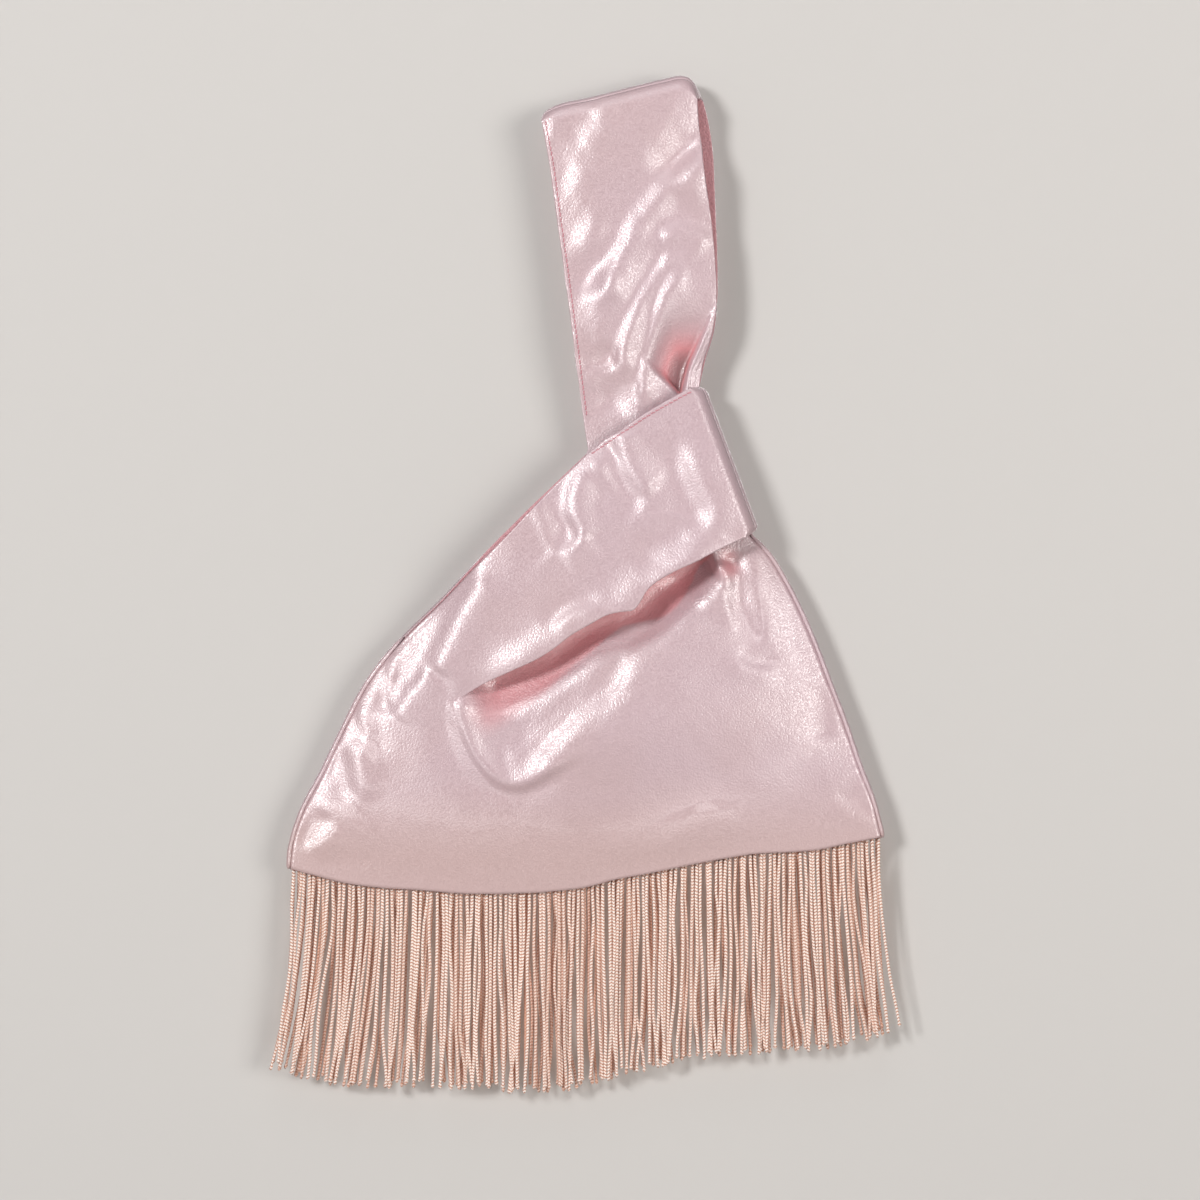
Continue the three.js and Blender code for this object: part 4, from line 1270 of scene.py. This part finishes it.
def make_camera():
    """A camera square to the wall, at the photograph's distance, as high as the view's centre."""
    scene = bpy.context.scene
    data = bpy.data.cameras.new("camera")
    data.sensor_width = SENSOR
    data.lens = SENSOR * VIEW_DISTANCE / (VIEW_SIZE / PER_MM)
    data.clip_start, data.clip_end = 0.05, 30
    camera = bpy.data.objects.new("camera", data)
    scene.collection.objects.link(camera)
    camera.location = (CAMERA_X / 1000, -VIEW_DISTANCE / 1000, CAMERA_Z / 1000)
    camera.rotation_euler = (math.pi / 2, 0, 0)
    scene.camera = camera


def make_stage():
    colour = tuple(settings()[1].wall)
    pale_wall, pale_floor = plain("pale wall", colour, True), plain("pale floor", colour, False)
    wall = make_plane("stage_wall", WALL_SIZE, (0, WALL_Y, WALL_MIDDLE), math.pi / 2, pale_wall)
    floor = make_plane("stage_floor", FLOOR_SIZE, (0, 0, FLOOR_Z), 0, pale_floor)
    for name, lamp in LAMPS.items():
        make_lamp(name, *lamp)
    make_room()
    bpy.context.scene.view_settings.view_transform = "Standard"
    make_camera()


# The add-on

def size_property(name, description, default, low, high):
    """A size in mm."""
    return bpy.props.FloatProperty(name=name, description=description, default=default, min=low, max=high)


def strand_count(name, row):
    description = f"Strands in the {row} row of each section"
    return bpy.props.IntProperty(name=name, description=description, default=10, min=2, max=16)


class KnotBagSizes(bpy.types.PropertyGroup):
    wall: size_property("Wall", "Thickness of the cloth with its lining, in mm", 1.7, 0.6, 3.0)
    fold_depth: bpy.props.FloatProperty(
        name="Fold depth", description="How deep the folds are, as a share of the real ones",
        default=1.0, min=0.0, max=2.0, subtype="FACTOR",
    )
    seam_roll: size_property("Seam roll", "Half the width of the rolled side seams, in mm", 1.3, 0.5, 4.0)
    stitch_inset: size_property("Stitch inset", "From the edge to the topstitching, in mm", 1.7, 0.5, 6.0)
    stitch_pitch: size_property("Stitch pitch", "From one stitch to the next, in mm", 2.2, 1.0, 6.0)
    fringe: size_property("Fringe", "Length of the fringe below the hem, in mm", 85.0, 20.0, 160.0)
    strand: size_property("Strand", "Thickness of a fringe strand, in mm", 1.5, 0.8, 4.0)
    strands_front: strand_count("Front strands", "front")
    strands_back: strand_count("Back strands", "back")


def colour_property(name, description, default):
    return bpy.props.FloatVectorProperty(
        name=name, description=description, default=default, subtype="COLOR", size=3, min=0, max=1,
    )


class KnotBagColours(bpy.types.PropertyGroup):
    satin: colour_property("Satin", "The satin's colour", (0.555, 0.387, 0.422))
    # The warmer colour is slow random tone, and painted warm bounce light low by the hem
    satin_warm_tone_and_bounce: colour_property("Satin, warm", "Its second, warmer colour", (0.545, 0.365, 0.355))
    # The satin's painted shade: deeper pink under the mouth's lip and in the strap's pocket
    satin_painted_shade: colour_property("Satin, deep", "Its colour deep in the folds", (0.68, 0.245, 0.265))
    # The lining's colour: the satin's, painted deeper pink as shade
    lining: colour_property("Lining", "The lining's colour", (0.70, 0.36, 0.39))
    thread: colour_property("Thread", "The topstitching's colour", (0.60, 0.26, 0.30))
    fringe: colour_property("Fringe", "The strands' lit loops", (1.0, 0.86, 0.785))
    # The fringe's painted shade: between the chained loops, on the back row and on the header
    fringe_painted_shade: colour_property("Fringe, deep", "Between the strands' loops", (0.66, 0.30, 0.18))
    wall: colour_property("Wall", "The wall and the floor behind the bag", (0.58, 0.565, 0.545))


class OBJECT_OT_knot_bag_front(bpy.types.Operator):
    """Make the front panel, the short loop's front and the long loop's front strap"""

    bl_idname = "object.knot_bag_front"
    bl_label = "Front panel"
    bl_options = {"REGISTER", "UNDO"}

    def execute(self, context):
        make_panel("front")
        return {"FINISHED"}


class OBJECT_OT_knot_bag_back(bpy.types.Operator):
    """Make the back panel, the round ends and the long loop's back strap"""

    bl_idname = "object.knot_bag_back"
    bl_label = "Back panel"
    bl_options = {"REGISTER", "UNDO"}

    def execute(self, context):
        make_panel("back")
        return {"FINISHED"}


class OBJECT_OT_knot_bag_seams(bpy.types.Operator):
    """Make the rolled side seams"""

    bl_idname = "object.knot_bag_seams"
    bl_label = "Side seams"
    bl_options = {"REGISTER", "UNDO"}

    def execute(self, context):
        make_seams()
        return {"FINISHED"}


class OBJECT_OT_knot_bag_stitches(bpy.types.Operator):
    """Make the topstitching of both loops"""

    bl_idname = "object.knot_bag_stitches"
    bl_label = "Topstitching"
    bl_options = {"REGISTER", "UNDO"}

    def execute(self, context):
        make_stitches()
        return {"FINISHED"}


class OBJECT_OT_knot_bag_fringe(bpy.types.Operator):
    """Make the fringe's strands and its header tape"""

    bl_idname = "object.knot_bag_fringe"
    bl_label = "Fringe"
    bl_options = {"REGISTER", "UNDO"}

    def execute(self, context):
        make_tape()
        make_fringe()
        declare_cloth()
        return {"FINISHED"}


class OBJECT_OT_knot_bag_stage(bpy.types.Operator):
    """Make the wall, the floor, the lamps and the camera"""

    bl_idname = "object.knot_bag_stage"
    bl_label = "Stage"
    bl_options = {"REGISTER", "UNDO"}

    def execute(self, context):
        make_stage()
        return {"FINISHED"}


OPERATORS = (
    OBJECT_OT_knot_bag_front, OBJECT_OT_knot_bag_back, OBJECT_OT_knot_bag_seams,
    OBJECT_OT_knot_bag_stitches, OBJECT_OT_knot_bag_fringe, OBJECT_OT_knot_bag_stage,
)


class VIEW3D_PT_knot_bag(bpy.types.Panel):
    bl_label = "Knot bag"
    bl_idname = "VIEW3D_PT_knot_bag"
    bl_space_type = "VIEW_3D"
    bl_region_type = "UI"
    bl_category = "Knot bag"

    def draw(self, context):
        for group in (context.scene.knot_bag_sizes, context.scene.knot_bag_colours):
            for name in group.__annotations__:
                self.layout.prop(group, name)
        for operator in OPERATORS:
            self.layout.operator(operator.bl_idname)


CLASSES = (KnotBagSizes, KnotBagColours, *OPERATORS, VIEW3D_PT_knot_bag)


def register():
    for cls in CLASSES:
        bpy.utils.register_class(cls)
    bpy.types.Scene.knot_bag_sizes = bpy.props.PointerProperty(type=KnotBagSizes)
    bpy.types.Scene.knot_bag_colours = bpy.props.PointerProperty(type=KnotBagColours)


def unregister():
    del bpy.types.Scene.knot_bag_sizes
    del bpy.types.Scene.knot_bag_colours
    for cls in reversed(CLASSES):
        bpy.utils.unregister_class(cls)


def main():
    register()
    bpy.ops.object.knot_bag_stage()
    bpy.ops.object.knot_bag_front()
    bpy.ops.object.knot_bag_back()
    bpy.ops.object.knot_bag_seams()
    bpy.ops.object.knot_bag_stitches()
    bpy.ops.object.knot_bag_fringe()


if __name__ == "__main__":
    main()
